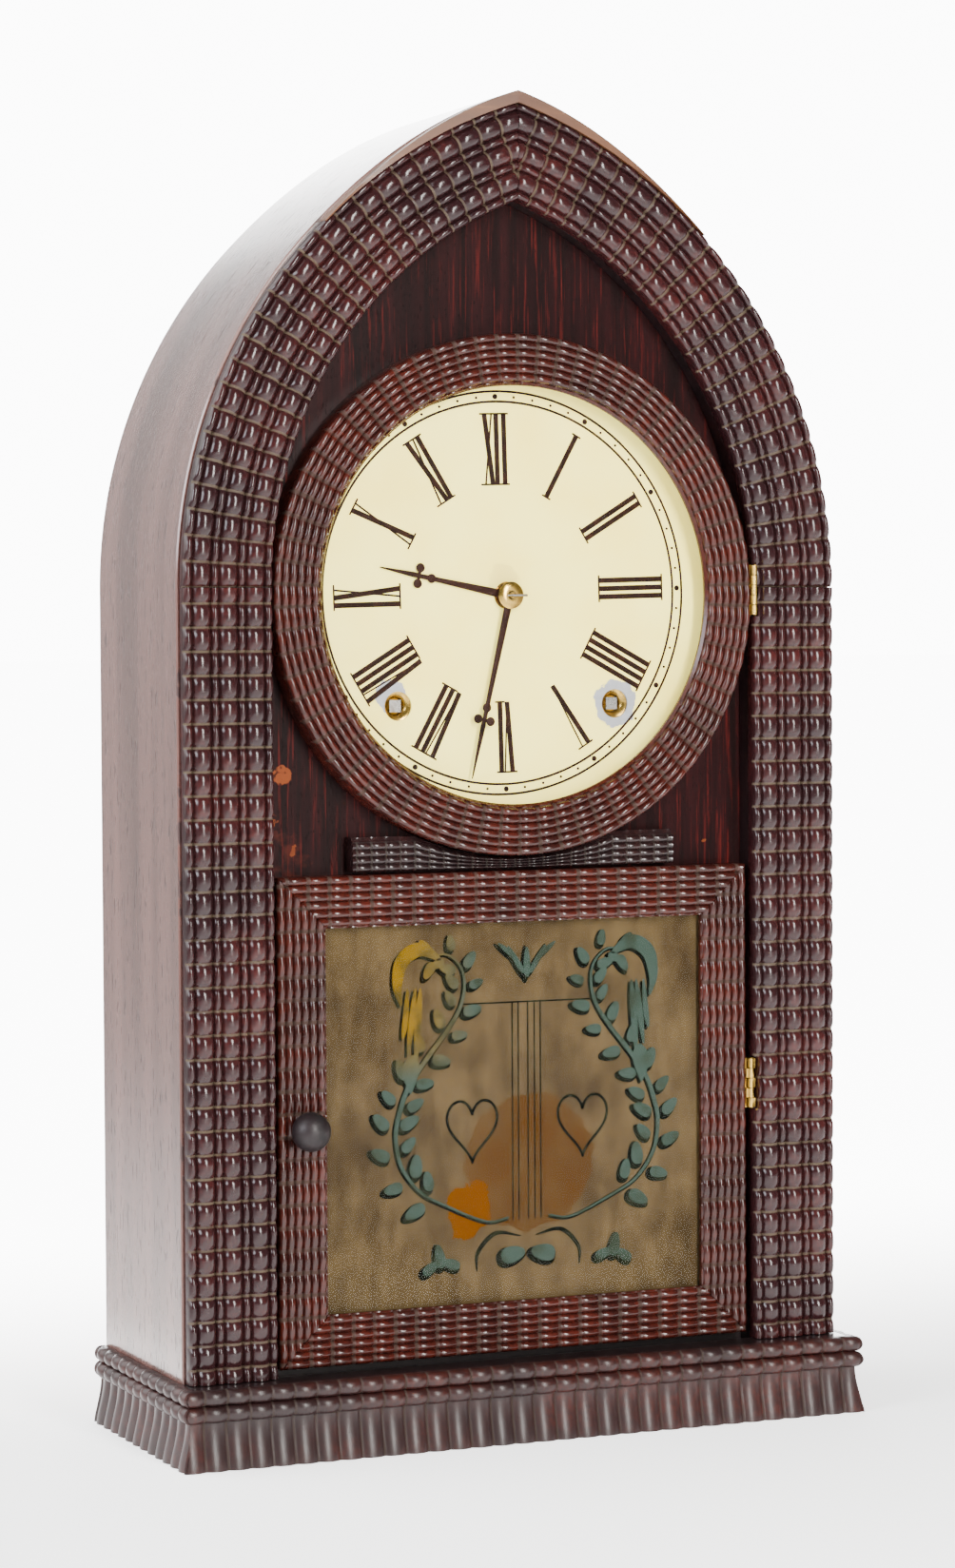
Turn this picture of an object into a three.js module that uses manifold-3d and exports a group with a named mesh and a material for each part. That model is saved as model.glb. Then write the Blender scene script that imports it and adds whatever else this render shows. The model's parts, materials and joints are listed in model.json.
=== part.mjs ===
/**
 * Mantel clock with a lancet-arched case, ripple mouldings, a round dial door over a glazed
 * lower door, and an eight-day spring movement with a pendulum and a coil gong.
 *
 * Millimetres. +X is the clock's right as seen from the front, the front faces -Y and +Z is up.
 * The origin is the middle of the bounding box's bottom face. A "depth" is measured straight
 * back from the crest plane of the front moulding; yAt() turns it into a Y coordinate.
 */
import * as THREE from 'three';
import { mergeVertices } from 'three/addons/utils/BufferGeometryUtils.js';
import Module from 'manifold-3d';

const wasm = await Module();
wasm.setup();

// ---------------------------------------------------------------- driving dimensions: case

const CASE_HEIGHT = 483;
const BEHIND_MOVEMENT = 26;       // room for the pendulum and the gong
const BOARD = 8;                  // thickness of the side boards
const BACKBOARD = 6.5;
const BOTTOM_BOARD = 10;
const FIT = 0.4;                  // gap between curved pieces that are glued together
const GAP = 0.3;                  // gap between flat pieces that are glued together
const ARCH_STEPS = 12;            // facets along each half of the arch
const SPRING_RISE = 2.8;          // the sides start to curve in this far above the dial's centre

const FRAME_WIDTH = 34;           // outer edge of the case to the opening
const FRAME_INSET = 1;            // the moulding stops this far inside the case's edge
const MOULDING_DEPTH = 7;
const FACE_FRAME_DEPTH = 6.7;     // carcass frame that the moulding is glued on
const PANEL_THICKNESS = 6.7;      // veneered panel behind the dial door
const PANEL_OVERLAP = 7.5;        // how far the panel runs down behind the lower door

const BASE_HEIGHT = 28.2;
const BASE_FLARE = 5.5;           // how far the skirt stands out at each side
const BASE_PROUD = 10.6;          // how far the skirt stands in front of the crest plane
const BASE_MOULDING = 5.2;        // thickness of the applied base moulding
const SKIRT_HEIGHT = 16.8;
const SKIRT_SWEEP = 4.3;          // how much the skirt draws in from bottom to top
const MITRE = 0.25;

const RAIL_GAP = 1.1;             // above the lower door, under the small moulding
const RAIL_UNDER_BEZEL = 4.6;     // wood left where the small moulding is scribed to the bezel
const RAIL_HEIGHT = 12.4;
const RAIL_WIDTH = 127;
const RAIL_PROUD = 8;

// ---------------------------------------------------------------- driving dimensions: doors

const BEZEL_OUTER = 94;           // sets the width of the case
const BEZEL_WIDTH = 18.5;
const BEZEL_CLEARANCE = 0.8;      // between the bezel and the opening's edge
const BEZEL_FRONT = 1.7;          // depth of the bezel's crests
const BEZEL_LIP = 3.5;            // wood in front of the glass
const GLASS_THICKNESS = 1.5;
const GLASS_BITE = 8;             // how far the rebate runs in behind the bezel's lip
const RING_STEPS = 44;

const DOOR_CLEARANCE = 2.1;       // between the lower door and the opening's edge
const DOOR_FOOT_Z = 30.6;
const DOOR_HEIGHT = 174.9;
const DOOR_FRONT = 4.3;           // depth of the door's crests
const DOOR_FRAME = 18.4;
const DOOR_LIP = 3.3;
const DOOR_REBATE = 4.5;
const DOOR_STOP = 8;              // overlap of the sill behind the door's foot

const KNOB_RADIUS = 7;
const KNOB_Z = 116;
const KNOB_FRONT = -9.6;          // depth of the knob's front
const STEM_RADIUS = 1.5;
const LATCH_REACH = 19;

const HINGE_LENGTH = 18.4;
const HINGE_KNUCKLES = 5;
const BARREL_RADIUS = 1.1;
const HINGE_PIN = 0.45;
const HINGE_BORE = 0.75;
const LEAF = 0.8;
const LEAF_DEPTH = 10;
const BEZEL_PIN_PROUD = 0.7;      // the hinge pin stands this far in front of the bezel's crests
const DOOR_PIN_PROUD = 0.9;
const BEZEL_HINGE_RISE = 1.8;     // above the dial's centre
const DOOR_HINGE_RISE = 93.4;     // above the door's foot

// ---------------------------------------------------------------- driving dimensions: dial

const DIAL_TUCK = 6.5;            // how far the dial runs in behind the bezel's lip
const PANEL_HOLE_STEP = 4;        // the panel's hole is this much smaller in radius
const DIAL_THICKNESS = 0.8;
const DIAL_HOLE = 5;
const WINDING_X = 43;
const WINDING_DROP = 39.7;
const WINDING_HOLE = 5.25;
const MINUTE_SHORT = 7.5;         // how far each hand stops short of the bezel's inner edge
const HOUR_SHORT = 26;
const MINUTE_ANGLE = 193.1;       // degrees clockwise from twelve
const HOUR_ANGLE = 281.5;
const HAND_THICKNESS = 0.7;

// ---------------------------------------------------------------- driving dimensions: movement

const PLATE_FRONT = 26;           // depth of the front plate's front face
const PLATE_SPACE = 32.5;
const PLATE = 1.5;
const PLATE_HALF = 74;
const PLATE_BELOW = 74.8;         // below and above the dial's centre
const PLATE_ABOVE = 58.8;
const ARBOR = 1.2;
const PIVOT_PLAY = 0.35;
const WINDING_ARBOR = 3;
const SQUARE = 4.4;
const SQUARE_BACK_OF_DIAL = 2;
const SEAT_BOARD = 8;
const VERGE_RISE = 20;            // height of the verge above the escape wheel
const PENDULUM_BEHIND = 8.5;      // behind the back plate
const BOB_Z = 118;
const BOB_RADIUS = 25;
const BOB_THICKNESS = 11;
const GONG_Z = 104;
const GONG_WIRE = 1.2;
const HAMMER_X = -66;
const HAMMER_BELOW = 65.2;        // below the dial's centre
const HAMMER_HEAD_Z = 128;
const FLY_HALF = 10.5;
const FLY_WIDTH = 12;
const FLY_THICKNESS = 0.8;

// ---------------------------------------------------------------- derived dimensions

const DOOR_TOP_Z = DOOR_FOOT_Z + DOOR_HEIGHT;
const RAIL_Z = DOOR_TOP_Z + RAIL_GAP;
const DIAL_Z = RAIL_Z + RAIL_UNDER_BEZEL + BEZEL_OUTER;
const SPRING_Z = DIAL_Z + SPRING_RISE;
const OPENING = BEZEL_OUTER + BEZEL_CLEARANCE;
const HALF = OPENING + FRAME_WIDTH;
const RISE = CASE_HEIGHT - SPRING_Z;
const ARCH_RADIUS = (HALF * HALF + RISE * RISE) / (2 * HALF);
const ARCH_CENTRE = HALF - ARCH_RADIUS;
const BASE_HALF = HALF + BASE_FLARE;
const PLATE_INNER = PLATE_FRONT + PLATE;
const BACK_PLATE = PLATE_INNER + PLATE_SPACE;
const BACK_PLATE_BACK = BACK_PLATE + PLATE;
const BACKBOARD_FRONT = BACK_PLATE_BACK + BEHIND_MOVEMENT;
const CASE_DEPTH = BACKBOARD_FRONT + BACKBOARD;   // crest of the front moulding to the back
const CREST_Y = BASE_PROUD - (CASE_DEPTH + BASE_PROUD) / 2;
const CARCASS_FRONT = MOULDING_DEPTH + GAP;
const PANEL_FRONT = CARCASS_FRONT + FACE_FRAME_DEPTH + GAP;
const PANEL_BACK = PANEL_FRONT + PANEL_THICKNESS;
const INSIDE = BOARD + FIT;
const DOOR_BACK = PANEL_FRONT - GAP;
const DOOR_HALF = OPENING - DOOR_CLEARANCE;
const PANEL_FOOT_Z = DOOR_TOP_Z - PANEL_OVERLAP;
const BEZEL_INNER = BEZEL_OUTER - BEZEL_WIDTH;
const DIAL_RADIUS = BEZEL_INNER + DIAL_TUCK;
const WINDING_Z = DIAL_Z - WINDING_DROP;
const PLATE_FOOT_Z = DIAL_Z - PLATE_BELOW;
const PLATE_TOP_Z = DIAL_Z + PLATE_ABOVE;
const PENDULUM_DEPTH = BACK_PLATE_BACK + PENDULUM_BEHIND;
const HAMMER_Z = DIAL_Z - HAMMER_BELOW;
const BEZEL_AXIS = { x: (BEZEL_OUTER + OPENING) / 2, depth: BEZEL_FRONT - BEZEL_PIN_PROUD };
const DOOR_AXIS = { x: (DOOR_HALF + OPENING) / 2, depth: DOOR_FRONT - DOOR_PIN_PROUD };
const GLASS_FRONT = BEZEL_FRONT + BEZEL_LIP + GAP;
const GLASS_BACK = GLASS_FRONT + GLASS_THICKNESS;
const DIAL_FRONT = PANEL_FRONT - GAP - DIAL_THICKNESS;
const DIAL_BACK = DIAL_FRONT + DIAL_THICKNESS;
const KNOB_X = -(DOOR_HALF - DOOR_FRAME / 2);
const LATCH_FRONT = DOOR_BACK + 0.6;

const yAt = (depth) => depth + CREST_Y;

// ---------------------------------------------------------------- finishes

const finish = (color, roughness, metalness) => (
  new THREE.MeshStandardMaterial({ color, roughness, metalness })
);
const FINISHES = {
  moulding: finish(0x3a1d1a, 0.3, 0),
  bezel: finish(0x55261f, 0.35, 0),
  rosewood: finish(0x2a1718, 0.35, 0),
  mahogany: finish(0x5d3b36, 0.3, 0),
  pine: finish(0x9a7446, 0.7, 0),
  glass: finish(0xdfe8e4, 0.05, 0),
  painted_glass: finish(0x7d6a45, 0.4, 0),
  dial: finish(0xf2ecd0, 0.45, 0),
  steel: finish(0x3b3330, 0.4, 0.9),
  bright_steel: finish(0xa7a5a2, 0.3, 1),
  brass: finish(0xb08d45, 0.35, 1),
  knob: finish(0x2e2523, 0.4, 0.3),
};

const clock = new THREE.Group();

// ---------------------------------------------------------------- solids and booleans

/** Turns a closed geometry into a solid whose faces point out, whichever way it was wound. */
function solidOf(geometry) {
  const bare = geometry.clone();
  bare.deleteAttribute('normal');
  bare.deleteAttribute('uv');
  const merged = mergeVertices(bare, 1e-4);
  const vertProperties = merged.attributes.position.array;
  const triVerts = Uint32Array.from(merged.index.array);
  if (signedVolume(vertProperties, triVerts) < 0) {
    for (let i = 0; i < triVerts.length; i += 3) {
      [triVerts[i], triVerts[i + 1]] = [triVerts[i + 1], triVerts[i]];
    }
  }
  return new wasm.Manifold(new wasm.Mesh({ numProp: 3, vertProperties, triVerts }));
}

/** Six times the volume that a triangle list encloses, negative where it is inside out. */
function signedVolume(points, triangles) {
  const corner = (i) => new THREE.Vector3().fromArray(points, 3 * triangles[i]);
  let sum = 0;
  for (let i = 0; i < triangles.length; i += 3) {
    sum += corner(i).dot(corner(i + 1).cross(corner(i + 2)));
  }
  return sum;
}

function geometryOf(solid) {
  const mesh = solid.getMesh();
  const geometry = new THREE.BufferGeometry();
  geometry.setAttribute('position', new THREE.BufferAttribute(mesh.vertProperties, 3));
  geometry.setIndex(new THREE.BufferAttribute(mesh.triVerts, 1));
  geometry.computeVertexNormals();
  return geometry;
}

const join = (...solids) => solids.reduce((whole, part) => whole.add(part));
const cut = (solid, ...tools) => tools.reduce((rest, tool) => rest.subtract(tool), solid);

function addPiece(name, finishName, solid) {
  const mesh = new THREE.Mesh(geometryOf(solid), FINISHES[finishName]);
  mesh.name = name;
  clock.add(mesh);
}

// ---------------------------------------------------------------- basic shapes

/** Box between two x values, two depths and two heights. */
function block([x0, x1], [near, far], [z0, z1]) {
  const box = new THREE.BoxGeometry(x1 - x0, far - near, z1 - z0);
  box.translate((x0 + x1) / 2, yAt((near + far) / 2), (z0 + z1) / 2);
  return solidOf(box);
}

/** Upright outline in x and z, given depth between two planes. */
function slab(shape, near, far) {
  const plate = new THREE.ExtrudeGeometry(shape, {
    depth: far - near, bevelEnabled: false, curveSegments: 12,
  });
  plate.rotateX(Math.PI / 2);
  plate.translate(0, yAt(far), 0);
  return solidOf(plate);
}

/** Round bar running front to back; its corners lie on the given radius. */
function rod(x, z, radius, near, far, sides = 10) {
  const bar = new THREE.CylinderGeometry(radius, radius, far - near, sides);
  bar.translate(x, yAt((near + far) / 2), z);
  return solidOf(bar);
}

/** Upright round bar. */
function post(x, depth, radius, z0, z1, sides = 10) {
  const bar = new THREE.CylinderGeometry(radius, radius, z1 - z0, sides);
  bar.rotateX(Math.PI / 2);
  bar.translate(x, yAt(depth), (z0 + z1) / 2);
  return solidOf(bar);
}

/** Turned solid about a front-to-back axis; the profile lists [radius, depth] pairs. */
function turned(profile, x, z, steps) {
  const points = profile.map(([radius, depth]) => new THREE.Vector2(radius, yAt(depth)));
  const lathe = new THREE.LatheGeometry(points, steps);
  lathe.translate(x, 0, z);
  return solidOf(lathe);
}

/** Ring about a front-to-back axis: its profile closes on itself. */
function turnedRing(profile, x, z, steps) {
  return turned([...profile, profile[0]], x, z, steps);
}

/** Shape through a list of [x, z] pairs. */
function outline(pairs) {
  return new THREE.Shape(pairs.map(([x, z]) => new THREE.Vector2(x, z)));
}

/** Adds a round hole with a few straight sides to an outline. */
function addHole(shape, x, z, radius, sides) {
  const hole = new THREE.Path();
  for (let i = 0; i < sides; i += 1) {
    const angle = -2 * Math.PI * (i + 0.5) / sides;
    const at = [x + radius * Math.cos(angle), z + radius * Math.sin(angle)];
    if (i === 0) hole.moveTo(...at);
    else hole.lineTo(...at);
  }
  hole.closePath();
  shape.holes.push(hole);
}

/** Solid through one closed section per station; a station places a section point in space. */
function sweep(section, stations) {
  const loop = section.map(([across, along]) => new THREE.Vector2(across, along));
  if (THREE.ShapeUtils.isClockWise(loop)) loop.reverse();
  const count = loop.length;
  const points = stations.flatMap((place) => loop.flatMap((point) => place(point.x, point.y)));
  const faces = [];
  for (let s = 0; s + 1 < stations.length; s += 1) {
    for (let i = 0; i < count; i += 1) {
      const a = s * count + i;
      const b = s * count + (i + 1) % count;
      faces.push(a, b, b + count, a, b + count, a + count);
    }
  }
  const last = (stations.length - 1) * count;
  for (const [i, j, k] of THREE.ShapeUtils.triangulateShape(loop, [])) {
    faces.push(k, j, i, last + i, last + j, last + k);
  }
  const geometry = new THREE.BufferGeometry();
  geometry.setAttribute('position', new THREE.Float32BufferAttribute(points, 3));
  geometry.setIndex(faces);
  return solidOf(geometry);
}

// ---------------------------------------------------------------- the lancet arch

/** Section on the straight part of one side: inset from the case's edge, and depth. */
const upright = (side, z) => (inset, depth) => [side * (HALF - inset), yAt(depth), z];

/** Section on the arch, from its springing at share 0 to the middle of the clock at share 1. */
const arching = (side, share, seam = MITRE / 2) => (inset, depth) => {
  const radius = ARCH_RADIUS - inset;
  const angle = share * Math.acos((seam - ARCH_CENTRE) / radius);
  const x = ARCH_CENTRE + radius * Math.cos(angle);
  return [side * x, yAt(depth), SPRING_Z + radius * Math.sin(angle)];
};

const archStations = (side) => Array.from(
  { length: ARCH_STEPS + 1 },
  (_, i) => arching(side, i / ARCH_STEPS),
);

const rectangle = (inner, outer, near, far) => (
  [[inner, near], [outer, near], [outer, far], [inner, far]]
);

/** Outline of a board that fits the arch at an inset, standing on a level foot. */
function archOutline(inset, footZ) {
  const right = [[HALF - inset, footZ]];
  for (let i = 0; i <= ARCH_STEPS; i += 1) {
    const [x, , z] = arching(1, i / ARCH_STEPS, 0)(inset, 0);
    right.push([x, z]);
  }
  const left = right.slice(0, -1).reverse().map(([x, z]) => [-x, z]);
  return outline([...right, ...left]);
}

// ---------------------------------------------------------------- ripple moulding sections

/** Front edge of a moulding: one bead per width, with flat crests on the wide ones. */
function beads(widths, crest, valley, start) {
  const points = [[start, valley]];
  const widest = Math.max(...widths);
  let at = start;
  for (const width of widths) {
    if (width === widest) points.push([at + 0.3 * width, crest], [at + 0.7 * width, crest]);
    else points.push([at + 0.5 * width, crest + (valley - crest) * 0.35]);
    at += width;
    points.push([at, valley]);
  }
  return points;
}

const SMALL_BEAD = 3;
const LARGE_BEAD = (FRAME_WIDTH - FRAME_INSET - 4 * SMALL_BEAD) / 3;
const FRAME_BEADS = [1, 2, 3].flatMap(() => [SMALL_BEAD, LARGE_BEAD]).concat(SMALL_BEAD);
const FRAME_VALLEY = 2.6;
const FRAME_SECTION = [
  ...beads(FRAME_BEADS, 0, FRAME_VALLEY, FRAME_INSET),
  [FRAME_WIDTH, MOULDING_DEPTH],
  [FRAME_INSET, MOULDING_DEPTH],
];

const FINE_BEADS = 6;
const FINE_VALLEY = 1.3;

/** Front edge of the finer moulding on the doors: equal, sharp beads across a width. */
function fineBeads(width, crest, start) {
  const pitch = width / FINE_BEADS;
  const points = [[start, crest + FINE_VALLEY]];
  for (let i = 0; i < FINE_BEADS; i += 1) {
    points.push([start + (i + 0.5) * pitch, crest], [start + (i + 1) * pitch, crest + FINE_VALLEY]);
  }
  return points;
}

// ---------------------------------------------------------------- butt hinges

/** Brass butt hinge between the case's frame and a door: two leaves and their mortises. */
function hinge(axis, doorEdge, midZ, leafDepth) {
  const pitch = HINGE_LENGTH / HINGE_KNUCKLES;
  const footZ = midZ - HINGE_LENGTH / 2;
  const topZ = midZ + HINGE_LENGTH / 2;
  const leafNear = axis.depth + BARREL_RADIUS + 0.2;
  const leafFar = axis.depth + leafDepth;
  const frameLeaf = [OPENING, OPENING + LEAF];
  const doorLeaf = [doorEdge - LEAF, doorEdge];
  let fixed = join(
    block(frameLeaf, [leafNear, leafFar], [footZ, topZ]),
    post(axis.x, axis.depth, HINGE_PIN, footZ, topZ, 8),
  );
  let moving = block(doorLeaf, [leafNear, leafFar], [footZ, topZ]);
  for (let i = 0; i < HINGE_KNUCKLES; i += 1) {
    const low = footZ + i * pitch + GAP / 2;
    const high = footZ + (i + 1) * pitch - GAP / 2;
    const knuckle = post(axis.x, axis.depth, BARREL_RADIUS, low, high);
    const tabDepth = [axis.depth, leafNear + 0.2];
    if (i % 2 === 0) {
      fixed = join(fixed, knuckle, block([axis.x, frameLeaf[1]], tabDepth, [low, high]));
    } else {
      moving = join(moving, knuckle, block([doorLeaf[0], axis.x], tabDepth, [low, high]));
    }
  }
  const bore = post(axis.x, axis.depth, HINGE_BORE, footZ - 1, topZ + 1);
  const mortiseDepth = [axis.depth - BARREL_RADIUS - 1.4, leafFar + GAP];
  const mortiseZ = [footZ - GAP, topZ + GAP];
  return {
    fixed,
    moving: moving.subtract(bore),
    frameMortise: block([OPENING - 1, frameLeaf[1] + GAP], mortiseDepth, mortiseZ),
    doorMortise: block([doorLeaf[0] - GAP, doorEdge + 1], mortiseDepth, mortiseZ),
  };
}

const bezelHinge = hinge(BEZEL_AXIS, BEZEL_OUTER, DIAL_Z + BEZEL_HINGE_RISE, LEAF_DEPTH);
const doorHinge = hinge(DOOR_AXIS, DOOR_HALF, DOOR_FOOT_Z + DOOR_HINGE_RISE, LEAF_DEPTH - 1);

// ---------------------------------------------------------------- case

function buildCase() {
  const board = rectangle(0, BOARD, CARCASS_FRONT, CASE_DEPTH);
  const faceSection = rectangle(INSIDE, FRAME_WIDTH, CARCASS_FRONT, PANEL_FRONT - GAP);
  for (const [word, side] of [['left', -1], ['right', 1]]) {
    const run = [upright(side, 0), ...archStations(side)];
    addPiece(`case_side_${word}`, 'mahogany', sweep(board, run));
    let faceFrame = sweep(faceSection, run);
    let straight = sweep(
      FRAME_SECTION,
      [upright(side, BASE_HEIGHT + GAP), upright(side, SPRING_Z - MITRE / 2)],
    );
    let arch = sweep(FRAME_SECTION, archStations(side)).translate(0, 0, MITRE / 2);
    if (side > 0) {
      const mortises = [bezelHinge.frameMortise, doorHinge.frameMortise];
      faceFrame = cut(faceFrame, ...mortises);
      straight = cut(straight, ...mortises);
      arch = cut(arch, ...mortises);
    }
    addPiece(`face_frame_${word}`, 'pine', faceFrame);
    addPiece(`front_moulding_${word}`, 'moulding', straight);
    addPiece(`arch_moulding_${word}`, 'moulding', arch);
  }

  addPiece('backboard', 'pine', slab(archOutline(INSIDE, 0), BACKBOARD_FRONT, CASE_DEPTH));
  const innerX = [INSIDE - HALF, HALF - INSIDE];
  addPiece('bottom_board', 'pine', join(
    block(innerX, [PANEL_FRONT, BACKBOARD_FRONT - GAP], [0, BOTTOM_BOARD]),
    block(innerX, [PANEL_FRONT, PANEL_BACK], [0, DOOR_FOOT_Z + DOOR_STOP]),
    block([FIT - OPENING, OPENING - FIT], [CARCASS_FRONT, PANEL_FRONT + 1], [0, BOTTOM_BOARD]),
  ));
  const panel = archOutline(INSIDE, PANEL_FOOT_Z);
  addHole(panel, 0, DIAL_Z, DIAL_RADIUS - PANEL_HOLE_STEP, RING_STEPS);
  addPiece('front_panel', 'rosewood', slab(panel, PANEL_FRONT, PANEL_BACK));
}

// ---------------------------------------------------------------- base

/** Section of the base moulding: inset from the skirt's foot, and height. */
function baseSection() {
  const beadTip = 1.5;
  const beadRoot = 3.6;
  const beadPitch = (BASE_HEIGHT - SKIRT_HEIGHT) / 2;
  const points = [
    [BASE_MOULDING, 0], [0, 0], [0.4, 2.5], [1.8, SKIRT_HEIGHT * 0.5], [SKIRT_SWEEP, SKIRT_HEIGHT],
  ];
  for (const foot of [SKIRT_HEIGHT, SKIRT_HEIGHT + beadPitch]) {
    points.push([beadTip + 0.5, foot + 0.2 * beadPitch], [beadTip, foot + 0.5 * beadPitch]);
    points.push([beadTip + 0.5, foot + 0.8 * beadPitch], [beadRoot, foot + beadPitch]);
  }
  points.push([BASE_MOULDING, BASE_HEIGHT]);
  return points;
}

function buildBase() {
  const section = baseSection();
  const front = [-1, 1].map((end) => (inset, z) => (
    [end * (BASE_HALF - inset - MITRE), yAt(inset - BASE_PROUD), z]
  ));
  addPiece('base_moulding_front', 'moulding', sweep(section, front));
  for (const [word, side] of [['left', -1], ['right', 1]]) {
    const stations = [
      (inset, z) => [side * (BASE_HALF - inset), yAt(inset - BASE_PROUD + MITRE), z],
      (inset, z) => [side * (BASE_HALF - inset), yAt(CASE_DEPTH), z],
    ];
    addPiece(`base_moulding_${word}`, 'moulding', sweep(section, stations));
  }
  const railFront = BASE_MOULDING - BASE_PROUD + GAP;
  addPiece('base_rail', 'pine', block(
    [-HALF, HALF], [railFront, MOULDING_DEPTH], [0, BASE_HEIGHT],
  ));
}

/** Small rippled moulding between the doors, scribed to the round door above it. */
function buildDialRail() {
  const near = PANEL_FRONT - GAP - RAIL_PROUD;
  const far = PANEL_FRONT - GAP;
  const section = [
    [far, 0], [near + 1.6, 0], [near + 1.2, 3], [near + 0.6, 3.6], [near, 5], [near + 0.9, 6.4],
    [near, 7.8], [near + 0.9, 9.2], [near + 1.5, RAIL_HEIGHT - 0.8], [near + 2.2, RAIL_HEIGHT],
    [far, RAIL_HEIGHT],
  ];
  const stations = [-1, 1].map((end) => (depth, height) => (
    [end * RAIL_WIDTH / 2, yAt(depth), RAIL_Z + height]
  ));
  const scribe = rod(0, DIAL_Z, BEZEL_OUTER + 2 * GAP, near - 2, far + 2, RING_STEPS);
  addPiece('dial_rail', 'moulding', sweep(section, stations).subtract(scribe));
}

// ---------------------------------------------------------------- round dial door

function buildBezel() {
  const rebate = BEZEL_INNER + GLASS_BITE;
  const crests = fineBeads(BEZEL_OUTER - BEZEL_INNER - 1.6, BEZEL_FRONT, BEZEL_INNER + 1.6);
  const section = [
    ...crests,
    [BEZEL_OUTER, DOOR_BACK],
    [rebate, DOOR_BACK],
    [rebate, GLASS_FRONT - GAP],
    [BEZEL_INNER, GLASS_FRONT - GAP],
    [BEZEL_INNER, BEZEL_FRONT + FINE_VALLEY + 0.9],
  ];
  const ring = turnedRing(section, 0, DIAL_Z, RING_STEPS);
  addPiece('bezel_ring', 'bezel', cut(ring, bezelHinge.doorMortise));
  const glassRadius = rebate - 2 * GAP;
  addPiece('bezel_glass', 'glass', rod(0, DIAL_Z, glassRadius, GLASS_FRONT, GLASS_BACK, RING_STEPS));
  addPiece('bezel_hinge_door_leaf', 'brass', bezelHinge.moving);
  addPiece('bezel_hinge_case_leaf', 'brass', bezelHinge.fixed);
}

// ---------------------------------------------------------------- lower door

function buildDoor() {
  const glassFront = DOOR_FRONT + DOOR_LIP + GAP;
  const section = [
    ...fineBeads(DOOR_FRAME, DOOR_FRONT, 0),
    [DOOR_FRAME, glassFront - GAP],
    [DOOR_FRAME - DOOR_REBATE, glassFront - GAP],
    [DOOR_FRAME - DOOR_REBATE, DOOR_BACK],
    [0, DOOR_BACK],
  ];
  const rail = (edgeZ, inward) => [-1, 1].map((end) => (inset, depth) => (
    [end * (DOOR_HALF - inset - MITRE), yAt(depth), edgeZ + inward * inset]
  ));
  const stile = (side) => [
    (inset, depth) => [side * (DOOR_HALF - inset), yAt(depth), DOOR_FOOT_Z + inset + MITRE],
    (inset, depth) => [side * (DOOR_HALF - inset), yAt(depth), DOOR_TOP_Z - inset - MITRE],
  ];
  addPiece('door_rail_top', 'bezel', sweep(section, rail(DOOR_TOP_Z, -1)));
  addPiece('door_rail_bottom', 'bezel', sweep(section, rail(DOOR_FOOT_Z, 1)));
  const stemBore = rod(KNOB_X, KNOB_Z, STEM_RADIUS + 0.5, DOOR_FRONT - 5, DOOR_BACK + 5);
  addPiece('door_stile_left', 'bezel', sweep(section, stile(-1)).subtract(stemBore));
  addPiece('door_stile_right', 'bezel', sweep(section, stile(1)).subtract(doorHinge.doorMortise));

  const glassInset = DOOR_FRAME - DOOR_REBATE + 2 * GAP;
  const glassX = DOOR_HALF - glassInset;
  const glassZ = [DOOR_FOOT_Z + glassInset, DOOR_TOP_Z - glassInset];
  const glassBand = [glassFront, glassFront + GLASS_THICKNESS];
  addPiece('tablet_glass', 'painted_glass', block([-glassX, glassX], glassBand, glassZ));
  addPiece('door_hinge_door_leaf', 'brass', doorHinge.moving);
  addPiece('door_hinge_case_leaf', 'brass', doorHinge.fixed);
}

/** Ball knob on a stem that runs through the stile to a flat turn latch. */
function buildKnob() {
  const centre = KNOB_FRONT + KNOB_RADIUS;
  const ball = [0, 25, 50, 75, 100, 125, 148].map((degrees) => {
    const angle = THREE.MathUtils.degToRad(degrees);
    return [KNOB_RADIUS * Math.sin(angle), centre - KNOB_RADIUS * Math.cos(angle)];
  });
  const seat = DOOR_FRONT - GAP;
  const knob = turned([
    ...ball, [4.6, seat - 0.4], [4.6, seat], [STEM_RADIUS, seat],
    [STEM_RADIUS, LATCH_FRONT - GAP], [0, LATCH_FRONT - GAP],
  ], KNOB_X, KNOB_Z, 18);
  addPiece('door_knob', 'knob', knob);
  const latch = outline([
    [KNOB_X - 3.5, KNOB_Z - 4], [KNOB_X + 3.5, KNOB_Z - 4],
    [KNOB_X + 3.5, KNOB_Z + LATCH_REACH - 3], [KNOB_X, KNOB_Z + LATCH_REACH],
    [KNOB_X - 3.5, KNOB_Z + LATCH_REACH - 3],
  ]);
  addPiece('knob_latch', 'bright_steel', slab(latch, LATCH_FRONT, LATCH_FRONT + 1.4));
}

// ---------------------------------------------------------------- dial and hands

function buildDial() {
  const plate = outline(circle(0, DIAL_Z, DIAL_RADIUS, RING_STEPS));
  addHole(plate, 0, DIAL_Z, DIAL_HOLE, 14);
  for (const side of [-1, 1]) addHole(plate, side * WINDING_X, WINDING_Z, WINDING_HOLE, 14);
  addPiece('dial_plate', 'dial', slab(plate, DIAL_FRONT, DIAL_BACK));
}

function circle(x, z, radius, sides) {
  return Array.from({ length: sides }, (_, i) => {
    const angle = 2 * Math.PI * (i + 0.5) / sides;
    return [x + radius * Math.cos(angle), z + radius * Math.sin(angle)];
  });
}

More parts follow.
